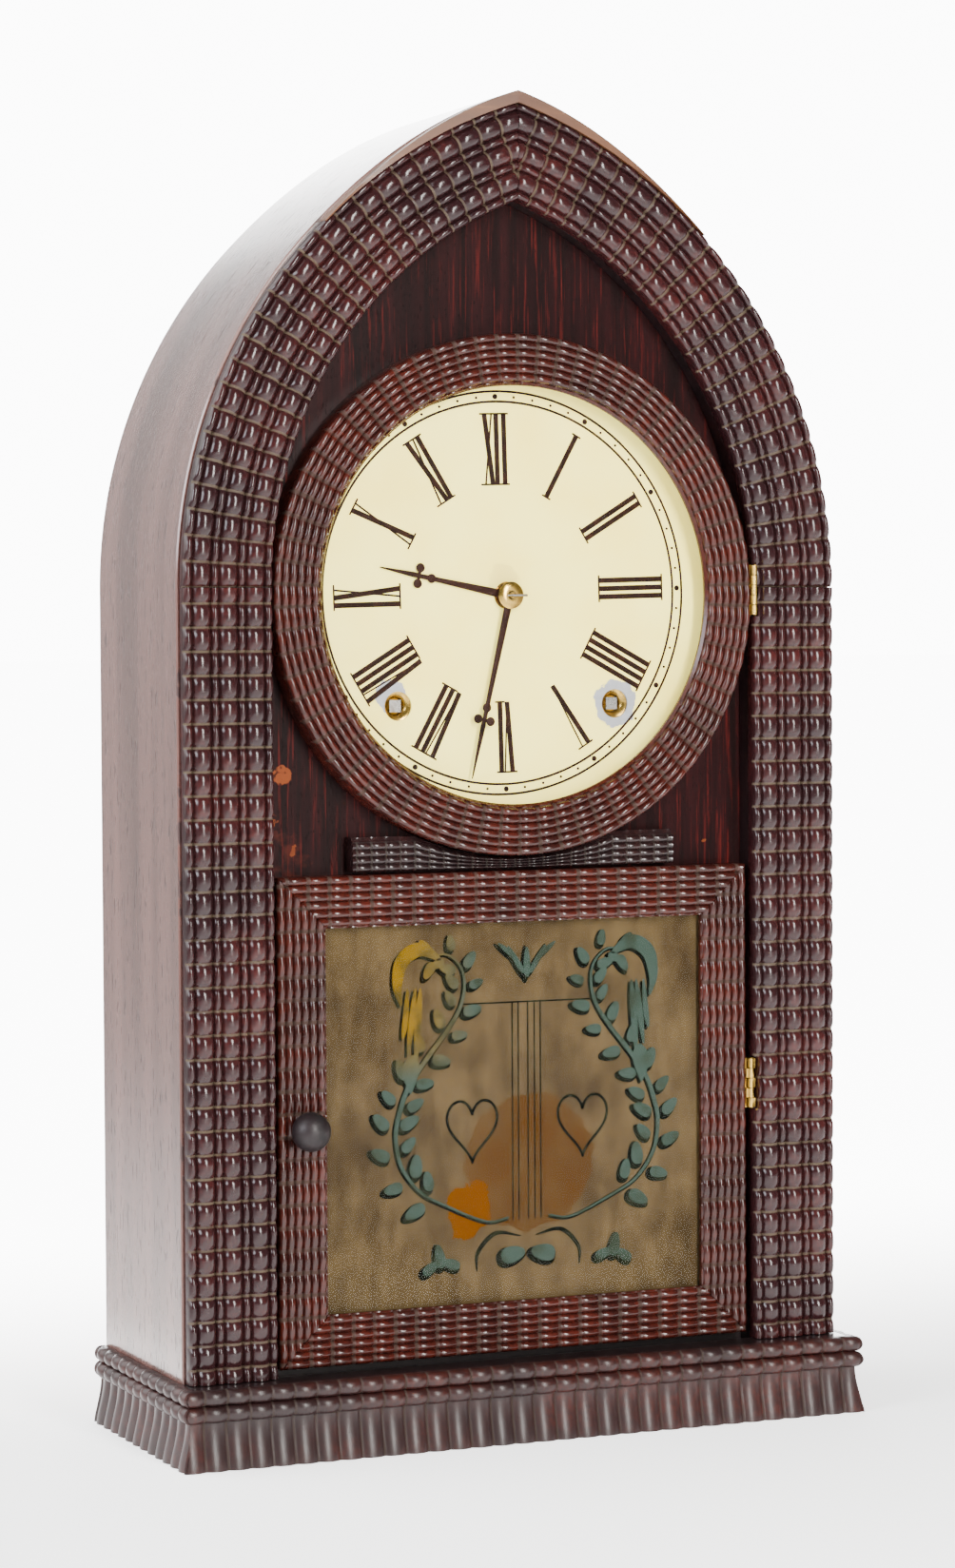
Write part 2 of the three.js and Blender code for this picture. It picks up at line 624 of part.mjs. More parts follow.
/** Slender hand with a three-leaved ornament, drawn upright and then turned to its place. */
function handBlank(length, leafAt, near, hubRadius) {
  const far = near + HAND_THICKNESS;
  const shaft = slab(outline([
    [-1.25, 0], [1.25, 0], [0.75, leafAt - 4], [0.75, leafAt + 3], [0.9, leafAt + 5],
    [0.1, length], [-0.1, length], [-0.9, leafAt + 5], [-0.75, leafAt + 3], [-0.75, leafAt - 4],
  ]), near, far);
  const leaves = [[-2.6, -0.9], [2.6, -0.9], [0, 3.2]].map(([x, z]) => (
    rod(x, leafAt + z, 1.9, near, far, 9)
  ));
  const bridge = slab(outline([
    [-2.6, leafAt - 1.6], [2.6, leafAt - 1.6], [2.6, leafAt - 0.2], [-2.6, leafAt - 0.2],
  ]), near, far);
  return join(shaft, bridge, ...leaves, rod(0, 0, hubRadius, near, far, 16));
}

const turnHand = (solid, degrees) => solid.rotate(0, degrees, 0).translate(0, 0, DIAL_Z);

// Depths of the hand stack, from the arbor's end back to the hour wheel.
const ARBOR_END = GLASS_BACK + 0.7;
const PIN_DEPTH = ARBOR_END + 0.8;
const PIN_RADIUS = 0.45;
const WASHER_FRONT = PIN_DEPTH + PIN_RADIUS + 0.2;
const MINUTE_FRONT = WASHER_FRONT + 1.3;
const HOUR_FRONT = DIAL_FRONT - 0.5 - HAND_THICKNESS;
const CANNON_OUTER = 2.3;
const CANNON_BORE = 1.6;
const PIPE_OUTER = 3.5;
const PIPE_BORE = 2.7;

// ---------------------------------------------------------------- wheels

const DEGREES = Math.PI / 180;

/** A gear wheel: centre, tooth count, module and the phase of one tooth in radians. */
function gear(at, teeth, module, phase = 0) {
  return { at, teeth, module, phase, pitch: teeth * module / 2 };
}

/** The gear of a given tooth count that meshes with another, at a place on its pitch circle. */
function mate(wheel, teeth, at) {
  const towards = Math.atan2(at[1] - wheel.at[1], at[0] - wheel.at[0]);
  const phase = towards + Math.PI - (wheel.phase - towards) * wheel.teeth / teeth - Math.PI / teeth;
  return gear(at, teeth, wheel.module, phase);
}

/** Slender pointed teeth: the wheels mesh with plenty of backlash. */
function toothed({ at, teeth, module, phase, pitch }, near, far) {
  const tip = pitch + 0.6 * module;
  const root = pitch - 1.3 * module;
  const points = [];
  for (let i = 0; i < teeth; i += 1) {
    const angle = phase + 2 * Math.PI * i / teeth;
    const half = Math.PI / teeth;
    points.push([at[0] + tip * Math.cos(angle), at[1] + tip * Math.sin(angle)]);
    points.push([at[0] + root * Math.cos(angle + half), at[1] + root * Math.sin(angle + half)]);
  }
  return slab(outline(points), near, far);
}

/** The point at given distances from two centres, on the chosen side of the line between. */
function reach(from, to, first, second, side) {
  const [dx, dz] = [to[0] - from[0], to[1] - from[1]];
  const span = Math.hypot(dx, dz);
  const along = (first * first - second * second + span * span) / (2 * span);
  const off = side * Math.sqrt(Math.max(first * first - along * along, 0));
  return [from[0] + (along * dx - off * dz) / span, from[1] + (along * dz + off * dx) / span];
}

/** The point at a distance and bearing from a centre. */
const offset = ([x, z], distance, degrees) => (
  [x + distance * Math.cos(degrees * DEGREES), z + distance * Math.sin(degrees * DEGREES)]
);

const PINION = 6;
const CENTRE = [0, DIAL_Z];
const TIME_WINDING = [WINDING_X, WINDING_Z];
const STRIKE_WINDING = [-WINDING_X, WINDING_Z];
const DRIVE_RATIO = 6;
const GREAT_TEETH = PINION * DRIVE_RATIO;
const TRAIN_TEETH = 30;
const ESCAPE_TEETH = 24;
const ESCAPE_RADIUS = 13.5;

const WINDING_SPAN = Math.hypot(WINDING_X, DIAL_Z - WINDING_Z);
const GREAT_MODULE = 1.6;
const greatReach = GREAT_MODULE * (GREAT_TEETH + PINION) / 2;
const SECOND_MODULE = (WINDING_SPAN - greatReach + 1.2) * 2 / (TRAIN_TEETH + PINION);
const secondReach = SECOND_MODULE * (TRAIN_TEETH + PINION) / 2;
const CENTRE_MODULE = 1.07;
const THIRD_MODULE = 0.9;
const STRIKE_MODULE = 1.2;

const timeGreat = gear(TIME_WINDING, GREAT_TEETH, GREAT_MODULE);
const secondAt = reach(TIME_WINDING, CENTRE, greatReach, secondReach, 1);
const secondPinion = mate(timeGreat, PINION, secondAt);
const secondWheel = gear(secondAt, TRAIN_TEETH, SECOND_MODULE);
const centrePinion = mate(secondWheel, PINION, CENTRE);
const centreWheel = gear(CENTRE, TRAIN_TEETH, CENTRE_MODULE);
const thirdAt = offset(CENTRE, CENTRE_MODULE * (TRAIN_TEETH + PINION) / 2, 59);
const thirdPinion = mate(centreWheel, PINION, thirdAt);
const thirdWheel = gear(thirdAt, TRAIN_TEETH, THIRD_MODULE);
const thirdReach = THIRD_MODULE * (TRAIN_TEETH + PINION) / 2;
const escapeAt = [0, thirdAt[1] + Math.sqrt(thirdReach ** 2 - thirdAt[0] ** 2)];
const escapePinion = mate(thirdWheel, PINION, escapeAt);
const VERGE_Z = escapeAt[1] + VERGE_RISE;

const strikeGreat = gear(STRIKE_WINDING, GREAT_TEETH, GREAT_MODULE);
const pinAt = offset(STRIKE_WINDING, greatReach, 105.6);
const pinPinion = mate(strikeGreat, PINION, pinAt);
const pinWheel = gear(pinAt, TRAIN_TEETH, STRIKE_MODULE);
const warnAt = offset(pinAt, STRIKE_MODULE * (TRAIN_TEETH + PINION) / 2, 49.5);
const warnPinion = mate(pinWheel, PINION, warnAt);
const warnWheel = gear(warnAt, TRAIN_TEETH, THIRD_MODULE);
const flyAt = offset(warnAt, thirdReach, 60.4);
const flyPinion = mate(warnWheel, PINION, flyAt);

const CANNON_TEETH = 8;
const MOTION_MODULE = 0.9;
const cannon = gear(CENTRE, CANNON_TEETH, MOTION_MODULE);
const motionReach = MOTION_MODULE * CANNON_TEETH * 2;
const motionAt = offset(CENTRE, motionReach, -60);
const motionWheel = mate(cannon, CANNON_TEETH * 3, motionAt);
const HOUR_MODULE = motionReach * 2 / (CANNON_TEETH * 5);
const motionPinion = gear(motionAt, CANNON_TEETH, HOUR_MODULE);
const hourWheel = mate(motionPinion, CANNON_TEETH * 4, CENTRE);

// Depth bands of the wheels between the plates, [near, far].
const GREAT_BAND = [PLATE_INNER + 3.5, PLATE_INNER + 5.5];
const DRIVE_PINION_BAND = [GREAT_BAND[0] - 1, GREAT_BAND[1] + 1];
const SPRING_BAND = [GREAT_BAND[1] + 4.5, BACK_PLATE - 5.5];
const SECOND_BAND = [BACK_PLATE - 3.2, BACK_PLATE - 1.8];
const CENTRE_PINION_BAND = [SECOND_BAND[0] - 1, SECOND_BAND[1] + 0.8];
const CENTRE_BAND = [BACK_PLATE - 10, BACK_PLATE - 8.6];
const THIRD_PINION_BAND = [CENTRE_BAND[0] - 1, CENTRE_BAND[1] + 1];
const THIRD_BAND = [BACK_PLATE - 16, BACK_PLATE - 14.8];
const ESCAPE_PINION_BAND = [THIRD_BAND[0] - 1, THIRD_BAND[1] + 1];
const ESCAPE_BAND = [BACK_PLATE - 6, BACK_PLATE - 4.9];
const PIVOTS = [PLATE_FRONT - 0.4, BACK_PLATE_BACK + 0.4];

/** Arbor between the plates with a pinion on it and a wheel on it. */
function arborWith(pinion, pinionBand, wheel, wheelBand) {
  return join(
    rod(...pinion.at, ARBOR, ...PIVOTS, 8),
    toothed(pinion, ...pinionBand),
    toothed(wheel, ...wheelBand),
  );
}

function buildTimeTrain() {
  const bore = rod(...TIME_WINDING, WINDING_ARBOR + GAP, ...PIVOTS, 12);
  addPiece('time_great_wheel', 'brass', toothed(timeGreat, ...GREAT_BAND).subtract(bore));
  addPiece('time_second_wheel', 'brass', arborWith(
    secondPinion, DRIVE_PINION_BAND, secondWheel, SECOND_BAND,
  ));
  const crossSlot = block(
    [-ARBOR - 1, ARBOR + 1],
    [ARBOR_END - 1, PIN_DEPTH + PIN_RADIUS + 0.15],
    [DIAL_Z - PIN_RADIUS - 0.2, DIAL_Z + PIN_RADIUS + 0.2],
  );
  addPiece('centre_wheel', 'brass', join(
    rod(...CENTRE, ARBOR, ARBOR_END, PIVOTS[1], 10),
    toothed(centrePinion, ...CENTRE_PINION_BAND),
    toothed(centreWheel, ...CENTRE_BAND),
  ).subtract(crossSlot));
  addPiece('third_wheel', 'brass', arborWith(
    thirdPinion, THIRD_PINION_BAND, thirdWheel, THIRD_BAND,
  ));
  const escapeWheel = gear(escapeAt, ESCAPE_TEETH, 2 * ESCAPE_RADIUS / (ESCAPE_TEETH + 1.2));
  addPiece('escape_wheel', 'brass', arborWith(
    escapePinion, ESCAPE_PINION_BAND, escapeWheel, ESCAPE_BAND,
  ));
}

function buildStrikeTrain() {
  const bore = rod(...STRIKE_WINDING, WINDING_ARBOR + GAP, ...PIVOTS, 12);
  addPiece('strike_great_wheel', 'brass', toothed(strikeGreat, ...GREAT_BAND).subtract(bore));
  addPiece('strike_pin_wheel', 'brass', arborWith(
    pinPinion, DRIVE_PINION_BAND, pinWheel, SECOND_BAND,
  ));
  addPiece('strike_warning_wheel', 'brass', arborWith(
    warnPinion, CENTRE_PINION_BAND, warnWheel, CENTRE_BAND,
  ));
  addPiece('strike_fly', 'brass', join(
    rod(...flyAt, ARBOR, ...PIVOTS, 8),
    toothed(flyPinion, ...THIRD_PINION_BAND),
    block(
      [flyAt[0] - FLY_HALF, flyAt[0] + FLY_HALF],
      [THIRD_BAND[0] - FLY_WIDTH, THIRD_BAND[0]],
      [flyAt[1] - FLY_THICKNESS / 2, flyAt[1] + FLY_THICKNESS / 2],
    ),
  ));
  const notches = 26;
  const countPoints = Array.from({ length: 2 * notches }, (_, i) => {
    const angle = Math.PI * i / notches;
    const radius = i % 2 === 0 ? 23 : 21;
    return [STRIKE_WINDING[0] + radius * Math.cos(angle), WINDING_Z + radius * Math.sin(angle)];
  });
  const countBand = [BACK_PLATE_BACK + 1, BACK_PLATE_BACK + 2.2];
  addPiece('count_wheel', 'brass', slab(outline(countPoints), ...countBand).subtract(
    rod(...STRIKE_WINDING, WINDING_ARBOR + GAP, BACK_PLATE_BACK, BACK_PLATE_BACK + 4, 12),
  ));
}

/** Winding arbors with their squares and ratchets, and the wound mainsprings. */
function buildSprings() {
  const squareFront = DIAL_BACK + SQUARE_BACK_OF_DIAL;
  for (const [word, at] of [['time', TIME_WINDING], ['strike', STRIKE_WINDING]]) {
    const ratchet = gear(at, 12, 1.3);
    const half = SQUARE / 2;
    addPiece(`${word}_winding_arbor`, 'bright_steel', join(
      rod(...at, WINDING_ARBOR, PLATE_FRONT - 2, BACK_PLATE_BACK + 3, 12),
      block([at[0] - half, at[0] + half], [squareFront, PLATE_FRONT - 1], [at[1] - half, at[1] + half]),
      rod(...at, 5, SPRING_BAND[0] + 0.5, SPRING_BAND[1] - 0.5, 12),
      toothed(ratchet, GREAT_BAND[1] + 1, GREAT_BAND[1] + 2.6),
    ));
    addPiece(`${word}_mainspring`, 'steel', turnedRing([
      [6, SPRING_BAND[0]], [20, SPRING_BAND[0]], [20, SPRING_BAND[1]], [6, SPRING_BAND[1]],
    ], at[0], at[1], 20));
  }
}

const PILLARS = [[-12, -67.2], [66, -65.2], [-52, 42.8], [48, 42.8]]
  .map(([x, rise]) => [x, DIAL_Z + rise]);
const COCK_RISE = 2.5;

/** Slotted bracket behind the back plate; the suspension spring hangs in its slot. */
function suspensionCock() {
  const footZ = VERGE_Z + COCK_RISE;
  return block(
    [-5, 5], [BACK_PLATE_BACK - 0.5, PENDULUM_DEPTH + 3], [footZ, footZ + 7],
  ).subtract(block([-1, 1], [PENDULUM_DEPTH - 3, PENDULUM_DEPTH + 4], [footZ - 1, footZ + 5]));
}

function buildPlates() {
  const pivots = [secondAt, CENTRE, thirdAt, escapeAt, pinAt, warnAt, flyAt, [0, VERGE_Z]];
  const plate = () => {
    const shape = outline([
      [-PLATE_HALF, PLATE_FOOT_Z], [PLATE_HALF, PLATE_FOOT_Z], [PLATE_HALF, DIAL_Z - 9],
      [58, DIAL_Z + 11], [58, PLATE_TOP_Z - 6], [52, PLATE_TOP_Z], [-52, PLATE_TOP_Z],
      [-58, PLATE_TOP_Z - 6], [-58, DIAL_Z + 25], [-PLATE_HALF, DIAL_Z + 7],
    ]);
    for (const at of pivots) addHole(shape, ...at, ARBOR + PIVOT_PLAY, 8);
    for (const at of [TIME_WINDING, STRIKE_WINDING]) addHole(shape, ...at, WINDING_ARBOR + PIVOT_PLAY, 12);
    addHole(shape, HAMMER_X, HAMMER_Z, ARBOR + PIVOT_PLAY, 8);
    return shape;
  };
  addPiece('movement_front_plate', 'brass', slab(plate(), PLATE_FRONT, PLATE_INNER));
  const riveted = PILLARS.map(([x, z]) => turned([
    [0, PLATE_INNER + GAP], [3.4, PLATE_INNER + GAP], [3.4, PLATE_INNER + 3], [2.2, PLATE_INNER + 5],
    [2.2, BACK_PLATE - 5], [3.4, BACK_PLATE - 3], [3.4, BACK_PLATE + 0.5], [0, BACK_PLATE + 0.5],
  ], x, z, 10));
  addPiece('movement_back_plate', 'brass', join(
    slab(plate(), BACK_PLATE, BACK_PLATE_BACK), ...riveted, suspensionCock(),
  ));
  addPiece('seat_board', 'pine', block(
    [INSIDE - HALF, HALF - INSIDE],
    [PANEL_BACK + 2, BACK_PLATE_BACK + 0.5],
    [PLATE_FOOT_Z - GAP - SEAT_BOARD, PLATE_FOOT_Z - GAP],
  ));
}

/** Motion work and hands: cannon pinion with the minute hand, minute wheel, hour wheel. */
function buildHands() {
  const cannonBand = [PLATE_FRONT - 4.6, PLATE_FRONT - 2.4];
  const hourBand = [DIAL_BACK + 3.4, DIAL_BACK + 4.6];
  const arborBore = rod(0, 0, CANNON_BORE, MINUTE_FRONT - 1, PLATE_FRONT, 12);
  const minuteBlank = handBlank(BEZEL_INNER - MINUTE_SHORT, 46, MINUTE_FRONT, 3.4);
  const cannonPipe = join(
    rod(...CENTRE, CANNON_OUTER, MINUTE_FRONT + 0.2, cannonBand[1] + 0.6, 12),
    toothed(cannon, ...cannonBand),
  );
  addPiece('minute_hand', 'steel', turnHand(minuteBlank, MINUTE_ANGLE)
    .add(cannonPipe)
    .subtract(arborBore.translate(0, 0, DIAL_Z)));
  const pipeBore = rod(0, 0, PIPE_OUTER + GAP, HOUR_FRONT - 1, DIAL_FRONT, 14);
  addPiece('hour_hand', 'steel', turnHand(
    handBlank(BEZEL_INNER - HOUR_SHORT, 31, HOUR_FRONT, PIPE_OUTER + 1.5).subtract(pipeBore), HOUR_ANGLE,
  ));
  addPiece('hour_wheel', 'brass', join(
    rod(...CENTRE, PIPE_OUTER, HOUR_FRONT - 0.3, hourBand[1], 12),
    toothed(hourWheel, ...hourBand),
  ).subtract(rod(...CENTRE, PIPE_BORE, HOUR_FRONT - 2, hourBand[1] + 1, 12)));
  addPiece('motion_wheel', 'brass', join(
    rod(...motionAt, 1.4, hourBand[0] - 0.8, PLATE_FRONT - GAP, 8),
    toothed(motionPinion, hourBand[0] - 0.6, hourBand[1] + 0.8),
    toothed(motionWheel, cannonBand[0] + 0.5, cannonBand[1] - 0.5),
  ));
  const back = MINUTE_FRONT - GAP;
  addPiece('hand_washer', 'brass', turnedRing([
    [1.6, WASHER_FRONT], [2.6, WASHER_FRONT + 0.05], [4, WASHER_FRONT + 0.4], [4.8, back - 0.15],
    [4.9, back], [1.6, back],
  ], ...CENTRE, 16));
  const pin = new THREE.CylinderGeometry(PIN_RADIUS, 0.3, 8, 8);
  pin.rotateZ(-Math.PI / 2);
  pin.translate(2, yAt(PIN_DEPTH), DIAL_Z);
  addPiece('hand_pin', 'bright_steel', solidOf(pin));
}

/** Verge with its crutch, suspension cock, pendulum, hammer and gong. */
function buildPendulumAndGong() {
  const crutchDrop = 34;
  const anchor = outline([
    [0, VERGE_Z + 3], [9.5, VERGE_Z - 4.5], [11.5, VERGE_Z - 9.5], [9.2, VERGE_Z - 8.2],
    [7, VERGE_Z - 3.6], [0, VERGE_Z - 2.4], [-7, VERGE_Z - 3.6], [-9.2, VERGE_Z - 8.2],
    [-11.5, VERGE_Z - 9.5], [-9.5, VERGE_Z - 4.5],
  ]);
  const crutchBand = [BACK_PLATE_BACK + 2, BACK_PLATE_BACK + 3.2];
  const prong = (side) => block(
    side < 0 ? [-2.6, -1.5] : [1.5, 2.6],
    [crutchBand[0], PENDULUM_DEPTH + 2],
    [VERGE_Z - crutchDrop - 2, VERGE_Z - crutchDrop],
  );
  addPiece('verge', 'bright_steel', join(
    rod(0, VERGE_Z, ARBOR, PIVOTS[0], crutchBand[1], 8),
    slab(anchor, ESCAPE_BAND[0] - 0.3, ESCAPE_BAND[1] + 0.3),
    block([-1, 1], crutchBand, [VERGE_Z - crutchDrop - 1, VERGE_Z]),
    block([-2.6, 2.6], crutchBand, [VERGE_Z - crutchDrop - 2, VERGE_Z - crutchDrop]),
    prong(-1),
    prong(1),
  ));
  const half = BOB_THICKNESS / 2;
  addPiece('pendulum_rod', 'bright_steel', join(
    block([-0.3, 0.3], [PENDULUM_DEPTH - 2, PENDULUM_DEPTH + 2], [VERGE_Z - 24, VERGE_Z + COCK_RISE + 3.5]),
    post(0, PENDULUM_DEPTH, 0.8, BOB_Z - BOB_RADIUS - 9, VERGE_Z - 22, 8),
    post(0, PENDULUM_DEPTH, 2.4, BOB_Z - BOB_RADIUS - 7, BOB_Z - BOB_RADIUS - 2, 8),
  ));
  const bob = turned([
    [0, PENDULUM_DEPTH - half], [BOB_RADIUS * 0.6, PENDULUM_DEPTH - half * 0.82],
    [BOB_RADIUS * 0.92, PENDULUM_DEPTH - half * 0.35], [BOB_RADIUS, PENDULUM_DEPTH],
    [BOB_RADIUS * 0.92, PENDULUM_DEPTH + half * 0.35],
    [BOB_RADIUS * 0.6, PENDULUM_DEPTH + half * 0.82], [0, PENDULUM_DEPTH + half],
  ], 0, BOB_Z, 24);
  addPiece('pendulum_bob', 'brass', bob.subtract(
    post(0, PENDULUM_DEPTH, 1.3, BOB_Z - BOB_RADIUS - 1, BOB_Z + BOB_RADIUS + 1, 8),
  ));

  const gongDepth = (PENDULUM_DEPTH + half + BACKBOARD_FRONT) / 2 + 0.6;
  addPiece('gong_coil', 'steel', gongCoil(gongDepth));
  addPiece('gong_block', 'pine', block(
    [-9, 9], [gongDepth - 3, BACKBOARD_FRONT - GAP], [GONG_Z - 9, GONG_Z + 9],
  ));
  addPiece('strike_hammer', 'steel', join(
    rod(HAMMER_X, HAMMER_Z, ARBOR, PIVOTS[0], gongDepth + 1.5, 8),
    post(HAMMER_X, gongDepth, 0.9, HAMMER_HEAD_Z, HAMMER_Z, 8),
    block(
      [HAMMER_X - 7, HAMMER_X + 7],
      [gongDepth - 2.6, gongDepth + 2.6],
      [HAMMER_HEAD_Z - 6, HAMMER_HEAD_Z + 2],
    ),
  ));
}

/** Flat spiral of round wire about the gong block. */
function gongCoil(depth) {
  const inner = 15;
  const outer = 41;
  const turns = 3.25;
  const stepsPerTurn = 18;
  const steps = Math.round(turns * stepsPerTurn);
  const ring = circle(0, 0, GONG_WIRE, 6);
  const stations = Array.from({ length: steps + 1 }, (_, i) => {
    const angle = Math.PI / 2 + 2 * Math.PI * i / stepsPerTurn;
    const radius = inner + (outer - inner) * i / steps;
    return (across, back) => [
      (radius + across) * Math.cos(angle), yAt(depth + back), GONG_Z + (radius + across) * Math.sin(angle),
    ];
  });
  return sweep(ring, stations);
}

buildCase();
buildBase();
buildDialRail();
buildBezel();
buildDoor();
buildKnob();
buildDial();
buildHands();
buildPlates();
buildTimeTrain();
buildStrikeTrain();
buildSprings();
buildPendulumAndGong();

export default clock;
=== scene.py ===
"""Visual model of a lancet-arched mantel clock with ripple mouldings.

Lengths inside this file are millimetres in the part's own terms: x to the clock's right, a
"depth" measured straight back from the crest plane of the front moulding, and z up. at()
turns them into metres in the part's frame. Angles are radians unless a name says degrees.
"""

import json
import logging
import math
from dataclasses import dataclass, field
from enum import Enum
from typing import Callable, Iterable, Sequence

import bpy
import numpy as np
from mathutils import Matrix, Vector
from mathutils.geometry import tessellate_polygon

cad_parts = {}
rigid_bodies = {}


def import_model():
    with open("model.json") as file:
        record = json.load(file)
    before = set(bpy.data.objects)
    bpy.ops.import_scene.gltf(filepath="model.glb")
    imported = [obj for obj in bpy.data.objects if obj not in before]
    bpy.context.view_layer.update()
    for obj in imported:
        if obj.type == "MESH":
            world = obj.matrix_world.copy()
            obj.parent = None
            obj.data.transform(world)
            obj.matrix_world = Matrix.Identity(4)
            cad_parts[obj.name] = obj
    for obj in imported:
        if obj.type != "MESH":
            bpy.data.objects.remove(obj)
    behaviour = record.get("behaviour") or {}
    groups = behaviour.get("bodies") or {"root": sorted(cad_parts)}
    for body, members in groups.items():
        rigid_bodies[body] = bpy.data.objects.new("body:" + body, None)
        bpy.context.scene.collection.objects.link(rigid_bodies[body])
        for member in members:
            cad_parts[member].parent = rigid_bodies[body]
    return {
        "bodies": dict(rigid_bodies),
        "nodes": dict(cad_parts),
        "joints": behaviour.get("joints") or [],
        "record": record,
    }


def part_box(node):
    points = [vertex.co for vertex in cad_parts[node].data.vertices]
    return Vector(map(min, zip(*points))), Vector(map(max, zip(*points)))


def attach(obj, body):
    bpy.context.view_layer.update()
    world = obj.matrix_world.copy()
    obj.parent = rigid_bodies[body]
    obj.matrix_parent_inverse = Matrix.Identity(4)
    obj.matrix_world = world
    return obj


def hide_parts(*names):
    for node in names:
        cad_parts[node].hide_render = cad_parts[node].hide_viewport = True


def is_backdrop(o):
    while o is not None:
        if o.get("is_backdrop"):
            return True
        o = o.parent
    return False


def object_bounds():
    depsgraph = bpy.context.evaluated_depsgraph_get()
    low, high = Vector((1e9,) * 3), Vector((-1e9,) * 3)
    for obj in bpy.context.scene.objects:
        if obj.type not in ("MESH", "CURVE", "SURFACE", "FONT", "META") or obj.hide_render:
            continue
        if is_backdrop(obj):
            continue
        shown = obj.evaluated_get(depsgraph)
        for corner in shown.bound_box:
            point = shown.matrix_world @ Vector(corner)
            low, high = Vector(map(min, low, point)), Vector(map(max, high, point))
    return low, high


LOG = logging.getLogger("mantel_clock")

MM = 0.001
CREST_Y = -41.7  # y of the front moulding's crests in the part's frame
TURN = 2 * math.pi

CASE_HEIGHT = 483.0
CASE_HALF = 128.8
CASE_DEPTH = 94.0
SPRING_Z = 308.0
BASE_TOP = 28.5
RISE = CASE_HEIGHT - SPRING_Z
ARCH_RADIUS = (CASE_HALF**2 + RISE**2) / (2 * CASE_HALF)
ARCH_CENTRE = CASE_HALF - ARCH_RADIUS
DIAL_Z = 305.2
RING_OUTER = 94.0
WINDING_X = 43.0
WINDING_Z = 265.5
DOOR_HALF = 92.7
DOOR_FOOT = 30.6
DOOR_TOP = 205.5
HINGES = ((114.6, 133.4), (297.6, 308.2))
HINGE_RECESS = 1.3
MOULDING_WIDTH = 33.0
RAIL_FOOT = 206.6
RAIL_HEIGHT = 12.4
RAIL_HALF = 63.4
RAIL_SCRIBE = 94.6

Points = np.ndarray


# ------------------------------------------------------------------------------- geometry


def at(x: Points, depth: Points, z: Points) -> Points:
    """Places points in the part's frame.

    Args:
        x: Millimetres to the clock's right.
        depth: Millimetres back from the crest plane.
        z: Millimetres up.

    Returns:
        An array of the inputs' shape with a last axis of three, in metres.
    """
    x, depth, z = np.broadcast_arrays(x, depth, z)
    return np.stack([x, depth + CREST_Y, z], axis=-1) * MM


def smoothstep(value: Points, low: float, high: float) -> Points:
    """Returns 0 below low, 1 above high and 3t^2 - 2t^3 between them."""
    t = np.clip((value - low) / (high - low), 0, 1)
    return t * t * (3 - 2 * t)


@dataclass
class Surface:
    """A closed mesh: points in metres, faces as arrays with one row per face.

    Attributes:
        points: (n, 3) corner positions.
        faces: Index arrays; each holds faces with the same number of corners.
        marks: Named values per point, read by materials.
    """

    points: Points
    faces: list[Points]
    marks: dict[str, Points] = field(default_factory=dict)

    def volume(self) -> float:
        """Returns six times the enclosed volume, negative if the faces point inwards."""
        total = 0.0
        for group in self.faces:
            first = self.points[group[:, 0]]
            for i in range(1, group.shape[1] - 1):
                b = self.points[group[:, i]]
                c = self.points[group[:, i + 1]]
                total += float(np.einsum("ij,ij->", first, np.cross(b, c)))
        return total

    def outward(self) -> "Surface":
        """Returns the surface with its faces turned to point out."""
        if self.volume() < 0:
            self.faces = [group[:, ::-1] for group in self.faces]
        return self


def merged(surfaces: Iterable[Surface]) -> Surface:
    """Joins closed surfaces into one mesh; missing marks count as zero."""
    surfaces = list(surfaces)
    names = sorted({name for s in surfaces for name in s.marks})
    faces: list[Points] = []
    start = 0
    for s in surfaces:
        faces += [group + start for group in s.faces]
        start += len(s.points)
    marks = {
        name: np.concatenate([s.marks.get(name, np.zeros(len(s.points))) for s in surfaces])
        for name in names
    }
    return Surface(np.concatenate([s.points for s in surfaces]), faces, marks)


def looped(points: Points, closed: bool = False, **marks: Points) -> Surface:
    """Skins closed loops laid side by side.

    P(i, j) = points[i, j], with j running round each loop. The faces are the quads
    (i, j), (i, j + 1), (i + 1, j + 1), (i + 1, j), and one flat face over each end loop.

    Args:
        points: (rows, columns, 3) loops in metres.
        closed: Whether the last loop joins the first, in place of the two ends.
        **marks: (rows, columns) values to keep with the points.

    Returns:
        The closed surface.
    """
    rows, columns, _ = points.shape
    index = np.arange(rows * columns).reshape(rows, columns)
    near = index if closed else index[:-1]
    far = np.roll(index, -1, axis=0) if closed else index[1:]
    quads = np.stack([near, np.roll(near, -1, 1), np.roll(far, -1, 1), far], -1).reshape(-1, 4)
    flat = points.reshape(-1, 3)
    kept = {name: np.broadcast_to(v, (rows, columns)).reshape(-1) for name, v in marks.items()}
    if closed:
        return Surface(flat, [quads], kept).outward()
    return Surface(flat, [quads, index[:1, ::-1], index[-1:]], kept).outward()


def turned(profile: Sequence[tuple[float, float]], x: float, z: float, steps: int) -> Surface:
    """Turns a profile about a front-to-back axis.

    P(i, j) = (x + r_i sin a_j, d_i, z + r_i cos a_j), where a_j = 2 pi j / steps.

    Args:
        profile: (radius, depth) pairs from front to back.
        x: The axis in x.
        z: The axis in z.
        steps: Facets round the axis.

    Returns:
        A closed solid of revolution.
    """
    radius, depth = (np.array(v, float)[:, None] for v in zip(*profile))
    angle = np.arange(steps) * TURN / steps
    return looped(at(x + radius * np.sin(angle), depth, z + radius * np.cos(angle)))


